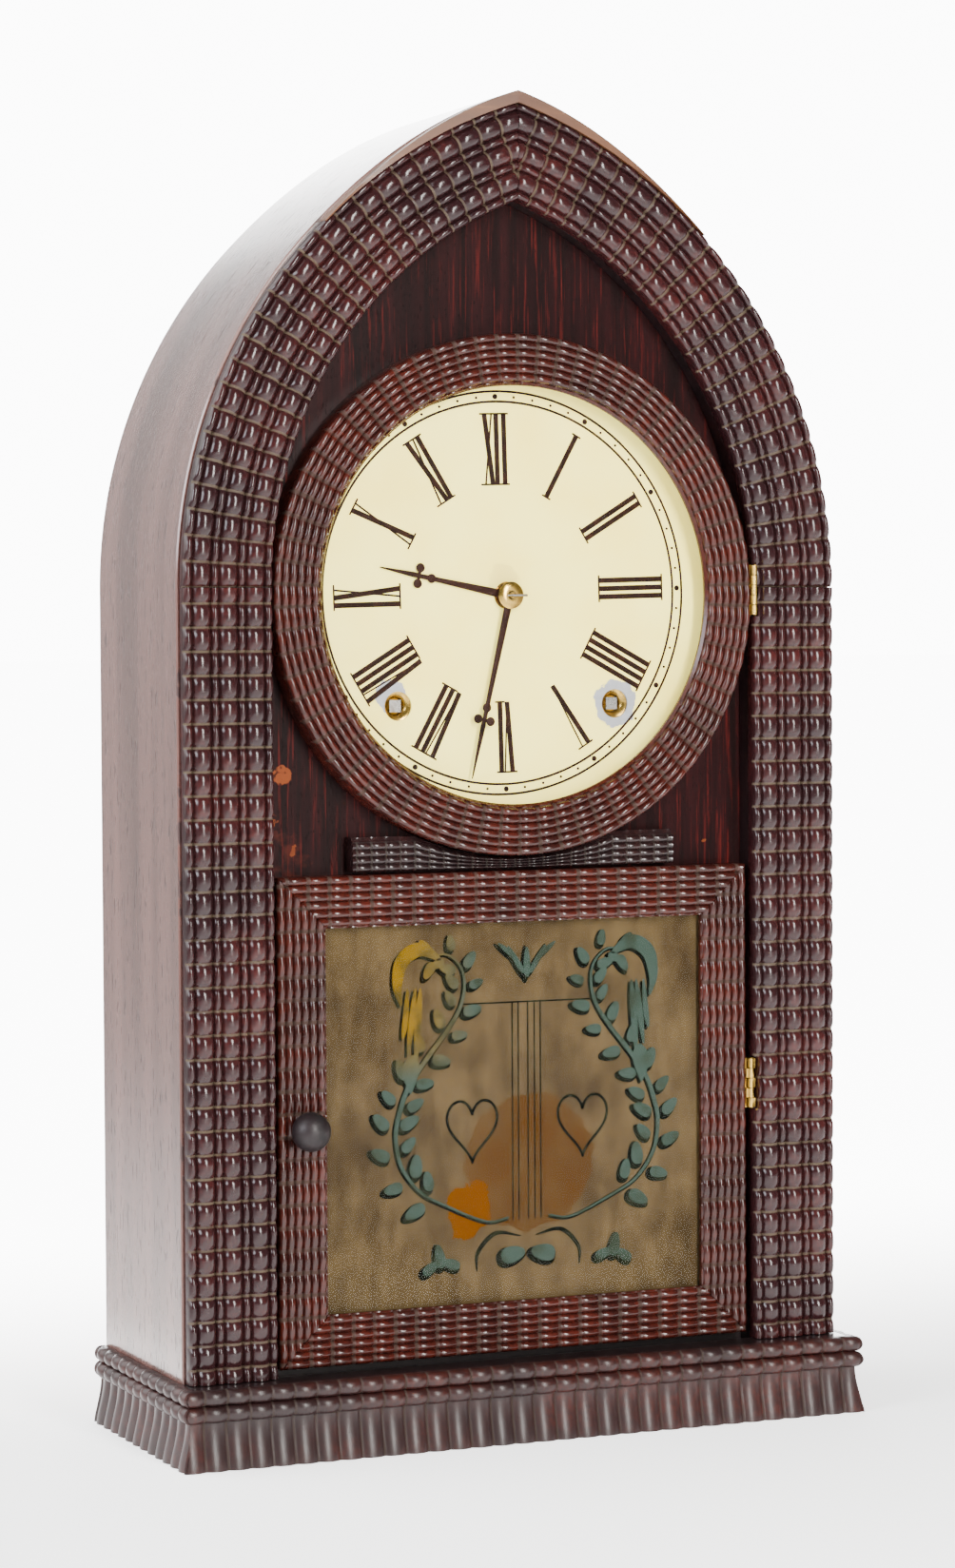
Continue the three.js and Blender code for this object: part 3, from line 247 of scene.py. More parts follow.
def turned_ring(profile: Sequence[tuple[float, float]], x: float, z: float, steps: int) -> Surface:
    """Turns a closed (radius, depth) profile that stays clear of the axis into a ring."""
    radius, depth = (np.array(v, float) for v in zip(*profile))
    angle = (np.arange(steps) * TURN / steps)[:, None]
    points = at(x + radius * np.sin(angle), depth, z + radius * np.cos(angle))
    return looped(points, closed=True)


def plate(outline: Points, near: float, far: float) -> Surface:
    """Gives an upright (n, 2) outline of x and z a depth from near to far, with flat ends."""
    count = len(outline)
    x, z = outline[:, 0], outline[:, 1]
    points = np.concatenate([at(x, near, z), at(x, far, z)])
    i = np.arange(count)
    j = np.roll(i, -1)
    walls = np.stack([i, j, j + count, i + count], -1)
    return Surface(points, [walls, i[None, ::-1], (i + count)[None, :]]).outward()


def ribbon(path: Points, width: Points, near: float, far: float) -> Surface:
    """Lays a flat band of varying width along an upright path.

    P(i) = c_i +- w_i n_i / 2, where n_i is the path's normal in x and z.

    Args:
        path: (n, 2) x and z.
        width: Full width at each point.
        near: Depth of the front face.
        far: Depth of the back face.

    Returns:
        A closed band of rectangular section.
    """
    run = np.gradient(path, axis=0)
    run /= np.linalg.norm(run, axis=1)[:, None]
    side = np.stack([-run[:, 1], run[:, 0]], -1) * (np.asarray(width) / 2)[:, None]
    a, b = path + side, path - side
    x = np.stack([a[:, 0], b[:, 0], b[:, 0], a[:, 0]], 1)
    z = np.stack([a[:, 1], b[:, 1], b[:, 1], a[:, 1]], 1)
    return looped(at(x, np.array([near, near, far, far]), z))


def curve(knots: Sequence[tuple[float, float]], count: int) -> Points:
    """Runs a smooth (Catmull-Rom) curve through x, z knots and returns count points of it."""
    p = np.array(knots, float)
    p = np.concatenate([[2 * p[0] - p[1]], p, [2 * p[-1] - p[-2]]])
    t = np.linspace(0, len(knots) - 1, count)
    k = np.minimum(t.astype(int), len(knots) - 2)
    u = (t - k)[:, None]
    a, b, c, d = p[k], p[k + 1], p[k + 2], p[k + 3]
    return 0.5 * (2 * b + (c - a) * u + (2 * a - 5 * b + 4 * c - d) * u**2
                  + (3 * b - a - 3 * c + d) * u**3)


def make_piece(name: str, surface: Surface, material: bpy.types.Material, body: str,
               replaces: Sequence[str] = (), crease: float = 38.0) -> bpy.types.Object:
    """Adds a surface to the scene as a piece that rides on a CAD body.

    Args:
        name: Object name.
        surface: Its mesh.
        material: Its finish.
        body: CAD body that it moves with.
        replaces: CAD nodes that it stands for.
        crease: Degrees between faces above which an edge is drawn sharp.

    Returns:
        The new object.
    """
    mesh = bpy.data.meshes.new(name)
    loops = np.concatenate([group.reshape(-1) for group in surface.faces])
    totals = np.concatenate([np.full(len(g), g.shape[1]) for g in surface.faces])
    mesh.vertices.add(len(surface.points))
    mesh.vertices.foreach_set("co", surface.points.astype(np.float32).reshape(-1))
    mesh.loops.add(len(loops))
    mesh.loops.foreach_set("vertex_index", loops.astype(np.int32))
    mesh.polygons.add(len(totals))
    starts = np.concatenate([[0], np.cumsum(totals)[:-1]])
    mesh.polygons.foreach_set("loop_start", starts.astype(np.int32))
    mesh.update(calc_edges=True)
    for mark, values in surface.marks.items():
        attribute = mesh.attributes.new(mark, "FLOAT", "POINT")
        attribute.data.foreach_set("value", values.astype(np.float32))
    mesh.shade_smooth()
    mesh.set_sharp_from_angle(angle=math.radians(crease))
    mesh.materials.append(material)
    piece = bpy.data.objects.new(name, mesh)
    bpy.context.scene.collection.objects.link(piece)
    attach(piece, body)
    if replaces:
        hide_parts(*replaces)
    return piece


# ------------------------------------------------------------------------------- mouldings


@dataclass(frozen=True)
class Section:
    """Cross section of a moulding as a closed loop.

    Attributes:
        across: Millimetres from the moulding's outer edge.
        back: Depth of each point in the bumps of the ripple.
        weight: 1 where the ripple acts, 0 on the glued faces.
        groove: 1 in the grooves between beads, 0 on their crests.
    """

    across: Points
    back: Points
    weight: Points
    groove: Points

    @staticmethod
    def beaded(widths: Sequence[float], heights: Sequence[float], floor: float,
               tail: Sequence[tuple[float, float]], steps: int) -> "Section":
        """Puts rounded beads side by side and closes the loop with straight lines.

        Bead k is depth = floor - h_k sin t, across = start_k + w_k (t / pi - sin(2 t) / 16).

        Args:
            widths: Width of each bead.
            heights: How far each stands in front of the grooves.
            floor: Depth of the grooves.
            tail: (across, depth) corners of the loop's remainder.
            steps: Facets across one bead.

        Returns:
            The section.
        """
        t = np.linspace(0, math.pi, steps + 1)[:-1]
        starts = np.concatenate([[0], np.cumsum(widths)[:-1]])
        across = [s + w * (t / math.pi - np.sin(2 * t) / 16) for s, w in zip(starts, widths)]
        back = [floor - h * np.sin(t) for h in heights]
        end = [float(np.sum(widths))]
        across = np.concatenate([*across, end, [a for a, _ in tail]])
        back = np.concatenate([*back, [floor], [d for _, d in tail]])
        fronts = steps * len(widths) + 1
        weight = np.concatenate([np.ones(fronts), np.zeros(len(tail))])
        groove = np.concatenate([np.tile(1 - np.sin(t), len(widths)), [1.0], np.zeros(len(tail))])
        return Section(across, back, weight, groove)


@dataclass(frozen=True)
class Ripple:
    """The wave cut along a moulding: depth shifts back by height * (1 - |sin(pi s / pitch)|)^power."""

    pitch: float
    height: float
    power: float = 1.2

    def valley(self, along: Points) -> Points:
        """Returns 0 on the bumps and 1 in the narrow valleys at a run position."""
        return (1 - np.abs(np.sin(np.pi * along / self.pitch))) ** self.power


def run_positions(low: Points, high: Points, margin: float, rows: int) -> Points:
    """Positions along a run whose two ends are cut on the slant.

    Rows go straight across the middle of the run and fan out to the slanted cut within
    margin of it.

    Args:
        low: Where the run starts, for each point of the section.
        high: Where it ends.
        margin: Length that each fan takes beyond the cut.
        rows: Number of rows.

    Returns:
        (rows, columns) positions.
    """
    first, last = low.min(), high.max()
    nominal = np.linspace(first, last, rows)[:, None]
    start = low.max() + margin
    stop = high.min() - margin
    along = np.where(nominal < start, low + (nominal - first) * (start - low) / (start - first), nominal)
    return np.where(nominal > stop, high - (last - nominal) * (high - stop) / (last - stop), along)


def moulding(section: Section, ripple: Ripple, low: Points, high: Points,
             to_space: Callable[[Points, Points, Points], Points], detail: int) -> Surface:
    """Runs a rippled section along a path.

    P(i, j) = to_space(s_ij, across_j, back_j + weight_j * height * valley(s_ij)).

    Args:
        section: Cross section with m points.
        ripple: The wave along the run.
        low: (m,) start of the run for each section point.
        high: (m,) end of the run.
        to_space: Maps run position, across and depth to metres.
        detail: Rows per ripple.

    Returns:
        The closed moulding with marks "valley" and "groove".
    """
    rows = int((high.max() - low.min()) / ripple.pitch * detail)
    along = run_positions(low, high, 0.6 * ripple.pitch, rows)
    valley = ripple.valley(along)
    back = section.back + section.weight * ripple.height * valley
    points = to_space(along, np.broadcast_to(section.across, along.shape), back)
    return looped(points, valley=valley * section.weight, groove=section.groove)


def arch_angle(inset: Points) -> Points:
    """Angle round the arch, from its springing, at which a given inset meets the middle."""
    return np.arccos(np.clip(-ARCH_CENTRE / (ARCH_RADIUS - inset), -1, 1))


def arch_point(side: int, angle: Points, inset: Points, depth: Points) -> Points:
    """P = (side (c + (R - inset) cos angle), depth, spring + (R - inset) sin angle)."""
    radius = ARCH_RADIUS - inset
    return at(side * (ARCH_CENTRE + radius * np.cos(angle)), depth, SPRING_Z + radius * np.sin(angle))


def arch_path(side: int, section: Sequence[tuple[float, float]], foot: float,
              proud: float = 0.0, start: float = 0.0) -> Surface:
    """Runs a closed (inset, depth) section up one side and round its half of the arch.

    Args:
        side: -1 left, 1 right.
        section: Corners of the section.
        foot: Height at which it starts.
        proud: How much the outer edge grows beyond the arch near the apex.
        start: Share of the arch at which it starts; above 0 there is no upright part.

    Returns:
        The closed board, with the mark "run": metres along it from the ground.
    """
    inset, depth = (np.array(v, float) for v in zip(*section))
    count = len(inset)
    share = np.linspace(start, 1, 97)[:, None]
    grown = inset - proud * smoothstep(share, 0.6, 1.0) * (inset < 1)
    curved = arch_point(side, share * arch_angle(grown), grown, depth)
    run = (SPRING_Z + share * arch_angle(np.zeros(1)) * ARCH_RADIUS) * MM
    if start > 0:
        return looped(curved, run=run)
    z = np.linspace(foot, SPRING_Z, 24)[:-1, None]
    straight = at(np.broadcast_to(side * (CASE_HALF - inset), (23, count)), depth, z)
    return looped(np.concatenate([straight, curved]), run=np.concatenate([z * MM, run]))


# ------------------------------------------------------------------------------- materials


def srgb(code: str) -> tuple[float, float, float, float]:
    """Turns a hex colour such as "#3a2226" into linear red, green, blue and alpha 1."""
    parts = [int(code[i:i + 2], 16) / 255 for i in (1, 3, 5)]
    linear = [v / 12.92 if v <= 0.04045 else ((v + 0.055) / 1.055) ** 2.4 for v in parts]
    return (*linear, 1.0)


class Shader:
    """A node material under construction."""

    def __init__(self, name: str) -> None:
        """Starts an empty material that reads Object coordinates."""
        self.material = bpy.data.materials.new(name)
        self.material.use_nodes = True
        self.tree = self.material.node_tree
        self.principled = self.tree.nodes["Principled BSDF"]
        self.place = self.add("ShaderNodeTexCoord").outputs["Object"]

    def add(self, kind: str, inputs: dict | None = None, **settings: object) -> bpy.types.Node:
        """Adds a node; each input is a value or another node's output."""
        node = self.tree.nodes.new(kind)
        for key, value in settings.items():
            setattr(node, key, value)
        for key, value in (inputs or {}).items():
            if isinstance(value, bpy.types.NodeSocket):
                self.tree.links.new(value, node.inputs[key])
            else:
                node.inputs[key].default_value = value
        return node

    def noise(self, scale: float, detail: float = 4.0, stretch: Sequence[float] = (1, 1, 1),
              rough: float = 0.55) -> bpy.types.NodeSocket:
        """Returns 3-D noise; scale is in features per metre, stretch multiplies it by axis."""
        spread = self.add("ShaderNodeVectorMath", {0: self.place, 1: tuple(stretch)}, operation="MULTIPLY")
        return self.add("ShaderNodeTexNoise", {
            "Vector": spread.outputs[0], "Scale": scale, "Detail": detail, "Roughness": rough,
        }).outputs["Fac"]

    def step(self, value: bpy.types.NodeSocket, low: float, high: float,
             start: float = 0.0, end: float = 1.0) -> bpy.types.NodeSocket:
        """Returns a smooth rise from start at low to end at high."""
        return self.add("ShaderNodeMapRange", {
            "Value": value, "From Min": low, "From Max": high, "To Min": start, "To Max": end,
        }, interpolation_type="SMOOTHSTEP").outputs["Result"]

    def calc(self, operation: str, a: object, b: object = 0.0) -> bpy.types.NodeSocket:
        """Returns the result of a math node."""
        return self.add("ShaderNodeMath", {0: a, 1: b}, operation=operation).outputs[0]

    def mix(self, share: object, a: object, b: object) -> bpy.types.NodeSocket:
        """Returns colour a where share is 0 and b where it is 1; hex codes are allowed."""
        a, b = (srgb(c) if isinstance(c, str) else c for c in (a, b))
        return self.add("ShaderNodeMix", {0: share, 6: a, 7: b}, data_type="RGBA").outputs[2]

    def mark(self, name: str) -> bpy.types.NodeSocket:
        """Returns a named value kept with the mesh's points."""
        return self.add("ShaderNodeAttribute", attribute_name=name).outputs["Fac"]

    def spot(self, x: float, z: float, radius: float, ragged: float, depth: float = 13.0,
             scale: float = 260.0) -> bpy.types.NodeSocket:
        """Returns 1 inside a ragged round patch; place, radius and raggedness in millimetres."""
        centre = Vector(at(np.array(x), np.array(depth), np.array(z)))
        away = self.add("ShaderNodeVectorMath", {0: self.place, 1: centre}, operation="DISTANCE")
        wobble = self.calc("MULTIPLY", self.calc("SUBTRACT", self.noise(scale), 0.5), 4 * ragged * MM)
        edge = self.calc("ADD", away.outputs["Value"], wobble)
        return self.step(edge, (radius - 0.25) * MM, (radius + 0.25) * MM, 1.0, 0.0)

    def most(self, *values: bpy.types.NodeSocket) -> bpy.types.NodeSocket:
        """Returns the largest of several values."""
        largest = values[0]
        for value in values[1:]:
            largest = self.calc("MAXIMUM", largest, value)
        return largest

    def finish(self, colour: object, roughness: object, bump: bpy.types.NodeSocket | None = None,
               bump_mm: float = 0.05, **values: object) -> bpy.types.Material:
        """Connects the Principled inputs and returns the material."""
        inputs = {"Base Color": colour, "Roughness": roughness, **values}
        if bump is not None:
            relief = self.add("ShaderNodeBump", {"Height": bump, "Distance": bump_mm * MM, "Strength": 1.0})
            inputs["Normal"] = relief.outputs["Normal"]
        for key, value in inputs.items():
            key = key.replace("_", " ") if key not in self.principled.inputs else key
            if isinstance(value, str):
                value = srgb(value)
            if isinstance(value, bpy.types.NodeSocket):
                self.tree.links.new(value, self.principled.inputs[key])
            else:
                self.principled.inputs[key].default_value = value
        return self.material


@dataclass(frozen=True)
class RippledFinish:
    """Shellacked ripple moulding with dust lodged in its valleys.

    Attributes:
        name: Material name.
        crest: Colour of the shellac.
        worn: Colour where the shellac has thinned.
        dust: Colour of the dirt in the valleys.
        groove: Colour of the thin darker line in the grooves between the beads.
        dust_from: Share of the way down a valley at which dirt starts.
        worn_share: How much of the surface is worn.
        roughness: Roughness of the clean shellac.
    """

    name: str
    crest: str
    worn: str
    dust: str
    groove: str
    dust_from: float
    worn_share: float
    roughness: float = 0.2

    def build(self) -> bpy.types.Material:
        """Returns the material; it reads the marks "valley" and "groove"."""
        s = Shader(self.name)
        # Dark shellac over veneered softwood: nearly black plum, redder where it has thinned.
        broad = s.step(s.noise(28, 5), 0.5 - self.worn_share / 2, 0.86 - self.worn_share / 2)
        fine = s.step(s.noise(420, 3), 0.35, 0.75)
        body = s.mix(s.calc("MULTIPLY", broad, s.calc("ADD", fine, 0.35)), self.crest, self.worn)
        # Old dust and dried wax sit in the bottom of every valley, unevenly.
        patchy = s.step(s.noise(90, 5), 0.3, 0.62, 0.45, 1.0)
        low = s.step(s.mark("valley"), self.dust_from, 0.97)
        dust = s.calc("MULTIPLY", low, patchy)
        # A thinner, darker line lies in the grooves between the beads.
        line = s.calc("MULTIPLY", s.step(s.mark("groove"), 0.66, 1.0), s.calc("MULTIPLY", patchy, 0.4))
        colour = s.mix(dust, s.mix(line, body, self.groove), self.dust)
        # The bezel's inner chamfer was never stained: bare orange-red wood.
        colour = s.mix(s.mark("bare"), colour, s.mix(fine, "#3c150b", "#280d07"))
        rough = s.step(s.most(dust, line), 0.0, 0.8, self.roughness, 0.85)
        relief = s.noise(650, 3)
        return s.finish(colour, rough, relief, 0.05, Specular_IOR_Level=0.36)


class Grain(Enum):
    """Axis along which wood grain runs."""

    UPRIGHT = (1.0, 1.0, 0.03)
    ACROSS = (0.03, 1.0, 1.0)
    INTO = (1.0, 0.03, 1.0)


@dataclass(frozen=True)
class WoodFinish:
    """Flat wood or veneer with straight grain.

    Attributes:
        name: Material name.
        light: Ground colour.
        dark: Colour of the denser figure.
        streak: Colour of narrow streaks.
        grain: Axis of the grain.
        roughness: Surface roughness.
        coat: Weight of the varnish.
        pores: Share of the surface taken by dark pores, 0 to 1.
        streaks: How wide the streaks spread, 0 to 1.
        scale: Figure across the grain, in features per metre.
        pore: Colour of the pores.
        bent: Whether the grain follows a bent board, by its mark "run".
    """

    name: str
    light: str
    dark: str
    streak: str
    grain: Grain
    roughness: float
    coat: float
    pores: float
    streaks: float
    scale: float
    pore: str = "#1d120d"
    bent: bool = False

    def shade(self) -> tuple[Shader, bpy.types.NodeSocket, bpy.types.NodeSocket]:
        """Returns the shader, its colour and its pore relief, for further work."""
        s = Shader(self.name)
        axis = self.grain.value
        if self.bent:
            depth = s.add("ShaderNodeSeparateXYZ", {0: s.place}).outputs["Y"]
            s.place = s.add("ShaderNodeCombineXYZ", {"Y": depth, "Z": s.mark("run")}).outputs[0]
        # Broad figure, then narrow streaks, then short dark pores, all drawn out by the grain.
        figure = s.step(s.noise(self.scale, 6, axis, 0.6), 0.3, 0.7)
        fine = s.noise(self.scale * 4.3, 5, axis, 0.65)
        narrow = s.step(fine, 0.72 - 0.3 * self.streaks, 0.86 - 0.25 * self.streaks)
        short = tuple(0.16 if v < 0.5 else v for v in axis)
        specks = s.noise(self.scale * 11, 2, short, 0.5)
        pore = s.step(specks, 0.78 - 0.3 * self.pores, 0.86 - 0.3 * self.pores)
        colour = s.mix(narrow, s.mix(figure, self.light, self.dark), self.streak)
        colour = s.mix(s.calc("MULTIPLY", pore, 0.8), colour, self.pore)
        return s, colour, pore

    def build(self) -> bpy.types.Material:
        """Returns the plain material."""
        s, colour, pore = self.shade()
        rough = s.calc("ADD", s.calc("MULTIPLY", pore, 0.35), self.roughness)
        return s.finish(colour, rough, s.calc("SUBTRACT", 1.0, pore), 0.04,
                        Coat_Weight=self.coat, Coat_Roughness=0.12)


@dataclass(frozen=True)
class MetalFinish:
    """Metal with patchy tarnish."""

    name: str
    bright: str
    tarnish: str
    roughness: float
    tarnish_share: float
    metallic: float = 1.0
    specular: float = 0.5

    def build(self) -> bpy.types.Material:
        """Returns the material."""
        s = Shader(self.name)
        # Tarnish gathers in cloudy patches and dulls the polish where it is thickest.
        cloud = s.step(s.noise(95, 6), 0.62 - self.tarnish_share * 0.4, 0.8 - self.tarnish_share * 0.25)
        speck = s.step(s.noise(900, 2), 0.55, 0.75)
        share = s.most(cloud, s.calc("MULTIPLY", speck, 0.5))
        rough = s.step(share, 0.0, 1.0, self.roughness, self.roughness + 0.22)
        return s.finish(s.mix(share, self.bright, self.tarnish), rough, s.noise(1500, 2), 0.015,
                        Metallic=self.metallic, Specular_IOR_Level=self.specular)


def panel_material(finish: WoodFinish) -> bpy.types.Material:
    """Returns the rosewood veneer with orange chips where it has lifted at its lower corners."""
    s, colour, pore = finish.shade()
    # Small losses show the orange-brown ground under the veneer.
    chips = s.most(s.spot(-87.0, 241.5, 3.6, 1.2), s.spot(-91.0, 226.0, 2.0, 2.2),
                   s.spot(-84.0, 214.0, 1.6, 2.6), s.spot(80.0, 215.0, 1.2, 1.5))
    colour = s.mix(s.calc("MULTIPLY", chips, s.step(s.noise(420, 3), 0.34, 0.5)), colour, "#6b3419")
    # Rubbed varnish lightens the wood by the lower door.
    rubbed = s.calc("MULTIPLY", s.spot(-86.0, 212.0, 9.0, 4.0), s.step(s.noise(210, 4), 0.4, 0.7))
    colour = s.mix(s.calc("MULTIPLY", rubbed, 0.5), colour, "#4a1c12")
    rough = s.calc("ADD", s.calc("MULTIPLY", pore, 0.2), finish.roughness)
    return s.finish(colour, rough, s.calc("SUBTRACT", 1.0, pore), 0.05,
                    Coat_Weight=finish.coat, Specular_IOR_Level=0.06)


def glass_material(name: str, alpha: float) -> bpy.types.Material:
    """Returns thin clear glass, shown as a nearly transparent glossy sheet with slight waves."""
    s = Shader(name)
    # Old crown glass is faintly green and not quite flat.
    tint = s.mix(s.noise(9, 2), "#1c221e", "#141916")
    return s.finish(tint, s.step(s.noise(40, 3), 0.4, 0.8, 0.02, 0.07), s.noise(14, 1), 0.15, Alpha=alpha)


def dial_material() -> bpy.types.Material:
    """Returns cream dial paint, worn to grey zinc round the winding holes, made to glow with its own colour.
    """
    s = Shader("dial_paint")
    # Aged white lead paint: a warm ivory with faint cloudy yellowing.
    cream = s.mix(s.step(s.noise(34, 5), 0.35, 0.7), "#fff07c", "#fbe56c")
    specks = s.step(s.noise(520, 2), 0.74, 0.8)
    cream = s.mix(s.calc("MULTIPLY", specks, 0.35), cream, "#b7a27a")
    # The key has scuffed the paint off round each hole.
    bare = s.most(s.spot(WINDING_X, WINDING_Z, 8.6, 1.5),
                  s.spot(-WINDING_X - 2.5, WINDING_Z + 3.5, 6.2, 1.3))
    colour = s.mix(bare, cream, s.mix(s.noise(300, 3), "#9a9b9d", "#7f8083"))
    # A darker yellow-brown patch lies on the paint just above the hands.
    patch_above_hands = s.calc("MULTIPLY", s.spot(-1.0, DIAL_Z + 5.0, 6.0, 2.6), 0.32)
    colour = s.mix(patch_above_hands, colour, "#a8935c")
    # Painted light: the paint also glows with its own colour, so the dial looks brighter than the lamps make
    # it.
    return s.finish(colour, s.step(bare, 0, 1, 0.4, 0.5), s.noise(240, 3), 0.03, Coat_Weight=0.15,
                    Emission_Color=colour, Emission_Strength=1.0)


def print_material() -> bpy.types.Material:
    """Returns the dial's brown-black printing ink."""
    s = Shader("dial_ink")
    # Iron ink has browned and thinned in places.
    colour = s.mix(s.step(s.noise(330, 3), 0.4, 0.7), "#1d0c06", "#2c150b")
    return s.finish(colour, s.step(s.noise(200, 2), 0.3, 0.7, 0.55, 0.7), Specular_IOR_Level=0.1)


def tablet_ground_material() -> bpy.types.Material:
    """Returns the olive ground painted behind the lower glass, with its orange disc."""
    s = Shader("tablet_ground")
    # Thin bronze-powder ground, laid on with a dabber: mottled olive and tan.
    cloud = s.step(s.noise(26, 8, rough=0.7), 0.38, 0.64)
    brushed = s.noise(150, 5, (1, 1, 0.35))
    mottle = s.calc("MULTIPLY", s.calc("ADD", cloud, s.step(brushed, 0.3, 0.7)), 0.5)
    ground = s.mix(mottle, "#5a4a30", "#35291a")
    # Orange lacquer in the lower middle, with a painted highlight that makes it strongest at the lower left.
    disc = s.spot(6.0, 99.0, 25.0, 2.2, 9.6, 120)
    ground = s.mix(s.calc("MULTIPLY", disc, s.step(s.noise(60, 4), 0.3, 0.7, 0.5, 1.0)), ground, "#43290c")
    # Painted highlight: a brighter orange spot at the disc's lower left stands for light falling there.
    lit = s.spot(-18.0, 83.0, 9.5, 4.5, 9.6, 90)
    ground = s.mix(lit, ground, "#5a3000")
    return s.finish(ground, 0.62, s.noise(500, 4), 0.02, Specular_IOR_Level=0.0)


def tablet_leaf_material(name: str, cool: str, warm: str) -> bpy.types.Material:
    """Returns stencilled paint that turns from green-grey to gold towards the upper left."""
    s = Shader(name)
    # Bronze powders: cool where thick, brassy towards the upper left where they have rubbed.
    place = s.add("ShaderNodeSeparateXYZ", {0: s.place})
    left = s.step(place.outputs["X"], -0.045, -0.012, 1.0, 0.0)
    high = s.step(place.outputs["Z"], 0.128, 0.15)
    warmth = s.calc("MULTIPLY", left, high)
    colour = s.mix(warmth, cool, warm)
    colour = s.mix(s.step(s.noise(170, 5), 0.4, 0.7, 0.0, 0.7), colour, "#27291c")
    return s.finish(colour, 0.5, s.noise(700, 3), 0.02, Specular_IOR_Level=0.0)


def paper_material() -> bpy.types.Material:
    """Returns foxed label paper."""
    s = Shader("label_paper")
    # Rag paper gone tan, with brown foxing.
    base = s.mix(s.step(s.noise(24, 6), 0.3, 0.7), "#cdbb90", "#b39c6b")
    fox = s.step(s.noise(110, 4), 0.66, 0.76)
    return s.finish(s.mix(s.calc("MULTIPLY", fox, 0.6), base, "#7a5730"), 0.9, s.noise(400, 4), 0.04)


def studio_material(name: str, tone: str) -> bpy.types.Material:
    """Returns the matt floor paint, with painted light: a glow beside and behind the clock, and grey fading
    far off.
    """
    s = Shader(name)
    # Plain matt white, barely uneven; painted light makes the sheet glow beside and behind the clock, except
    # off to its left.
    place = s.add("ShaderNodeSeparateXYZ", {0: s.place})
    x, y = place.outputs["X"], place.outputs["Y"]
    beside = s.calc("SUBTRACT", x, s.calc("MULTIPLY", y, 0.22))
    far = s.step(y, 0.0, 0.5, 0.0, 8.0)
    behind = s.calc("ADD", s.step(y, -0.5, -0.3, 0.0, 1.5), far)
    glow = s.calc("MULTIPLY", behind, s.step(beside, -0.27, -0.18))
    paper = s.mix(s.noise(6, 2), tone, "#fbfbfb")
    # Painted shade: far in front and far to the left the floor fades to grey.
    dim = s.calc("MULTIPLY", s.step(beside, -0.9, -0.2), s.step(y, -8.0, -1.5))
    return s.finish(s.mix(dim, "#a2a2a2", paper), 0.9, Specular_IOR_Level=0.1,
                    Emission_Color="#ffffff", Emission_Strength=glow)


@dataclass
class Materials:
    """All finishes, built once."""

    frame: bpy.types.Material
    base: bpy.types.Material
    fine: bpy.types.Material
    small: bpy.types.Material
    mahogany: bpy.types.Material
    rosewood: bpy.types.Material
    pine: bpy.types.Material
    bare_edge: bpy.types.Material
    brass: bpy.types.Material
    steel: bpy.types.Material
    spring: bpy.types.Material
    browned: bpy.types.Material
    knob: bpy.types.Material
    dark_wood: bpy.types.Material
    glass: bpy.types.Material
    tablet_glass: bpy.types.Material
    dial: bpy.types.Material
    ink: bpy.types.Material
    ground: bpy.types.Material
    leaf: bpy.types.Material
    shadow: bpy.types.Material
    paper: bpy.types.Material

    @staticmethod
    def build() -> "Materials":
        """Builds every finish."""
        rosewood = WoodFinish("rosewood_veneer", "#200a0b", "#100606", "#451210", Grain.UPRIGHT,
                              0.34, 0.0, 0.5, 0.62, 240.0, "#070303")
        return Materials(
            frame=RippledFinish(
                "frame_moulding", "#221012", "#3a1716", "#544838", "#1d1210", 0.6, 0.3).build(),
            base=RippledFinish(
                "base_moulding", "#1d0e0e", "#36140f", "#2c211a", "#150c0a", 0.7, 0.3, 0.38).build(),
            fine=RippledFinish(
                "fine_moulding", "#230e0c", "#40160f", "#33231b", "#180b09", 0.45, 0.5).build(),
            small=RippledFinish(
                "small_moulding", "#1a1112", "#281514", "#2a231e", "#151010", 0.62, 0.3).build(),
            mahogany=WoodFinish("mahogany_veneer", "#744f47", "#4d2f28", "#875d52", Grain.UPRIGHT,
                                0.26, 0.75, 0.66, 0.3, 60.0, "#2a1512", True).build(),
            rosewood=panel_material(rosewood),
            pine=WoodFinish("aged_pine", "#a78458", "#8a6840", "#6f4f2d", Grain.UPRIGHT,
                            0.7, 0.0, 0.1, 0.45, 45.0).build(),
            bare_edge=WoodFinish("bare_case_edge", "#5f381a", "#472610", "#7a4d26", Grain.ACROSS,
                                 0.55, 0.1, 0.1, 0.4, 90.0).build(),
            brass=MetalFinish("aged_brass", "#c9a551", "#7d6230", 0.24, 0.4).build(),
            steel=MetalFinish("bright_steel", "#b9b6b1", "#6f675f", 0.26, 0.3).build(),
            spring=MetalFinish("spring_steel", "#4a4a55", "#2c2a2c", 0.3, 0.4).build(),
            browned=MetalFinish("browned_steel", "#2a130c", "#180a06", 0.5, 0.5, 0.0, 0.1).build(),
            knob=MetalFinish("knob_finish", "#1b1315", "#0e0a0b", 0.45, 0.5, 0.0, 0.3).build(),
            dark_wood=WoodFinish("dark_small_moulding", "#1c1011", "#0e0809", "#33211f", Grain.ACROSS,
                                 0.35, 0.5, 0.3, 0.4, 220.0).build(),
            glass=glass_material("dial_glass", 0.035),
            tablet_glass=glass_material("tablet_pane", 0.06),
            dial=dial_material(),
            ink=print_material(),
            ground=tablet_ground_material(),
            leaf=tablet_leaf_material("tablet_leaf", "#34423a", "#6d5208"),
            shadow=tablet_leaf_material("tablet_shadow", "#0b0c09", "#140e03"),
            paper=paper_material(),
        )


# ------------------------------------------------------------------------------- the clock


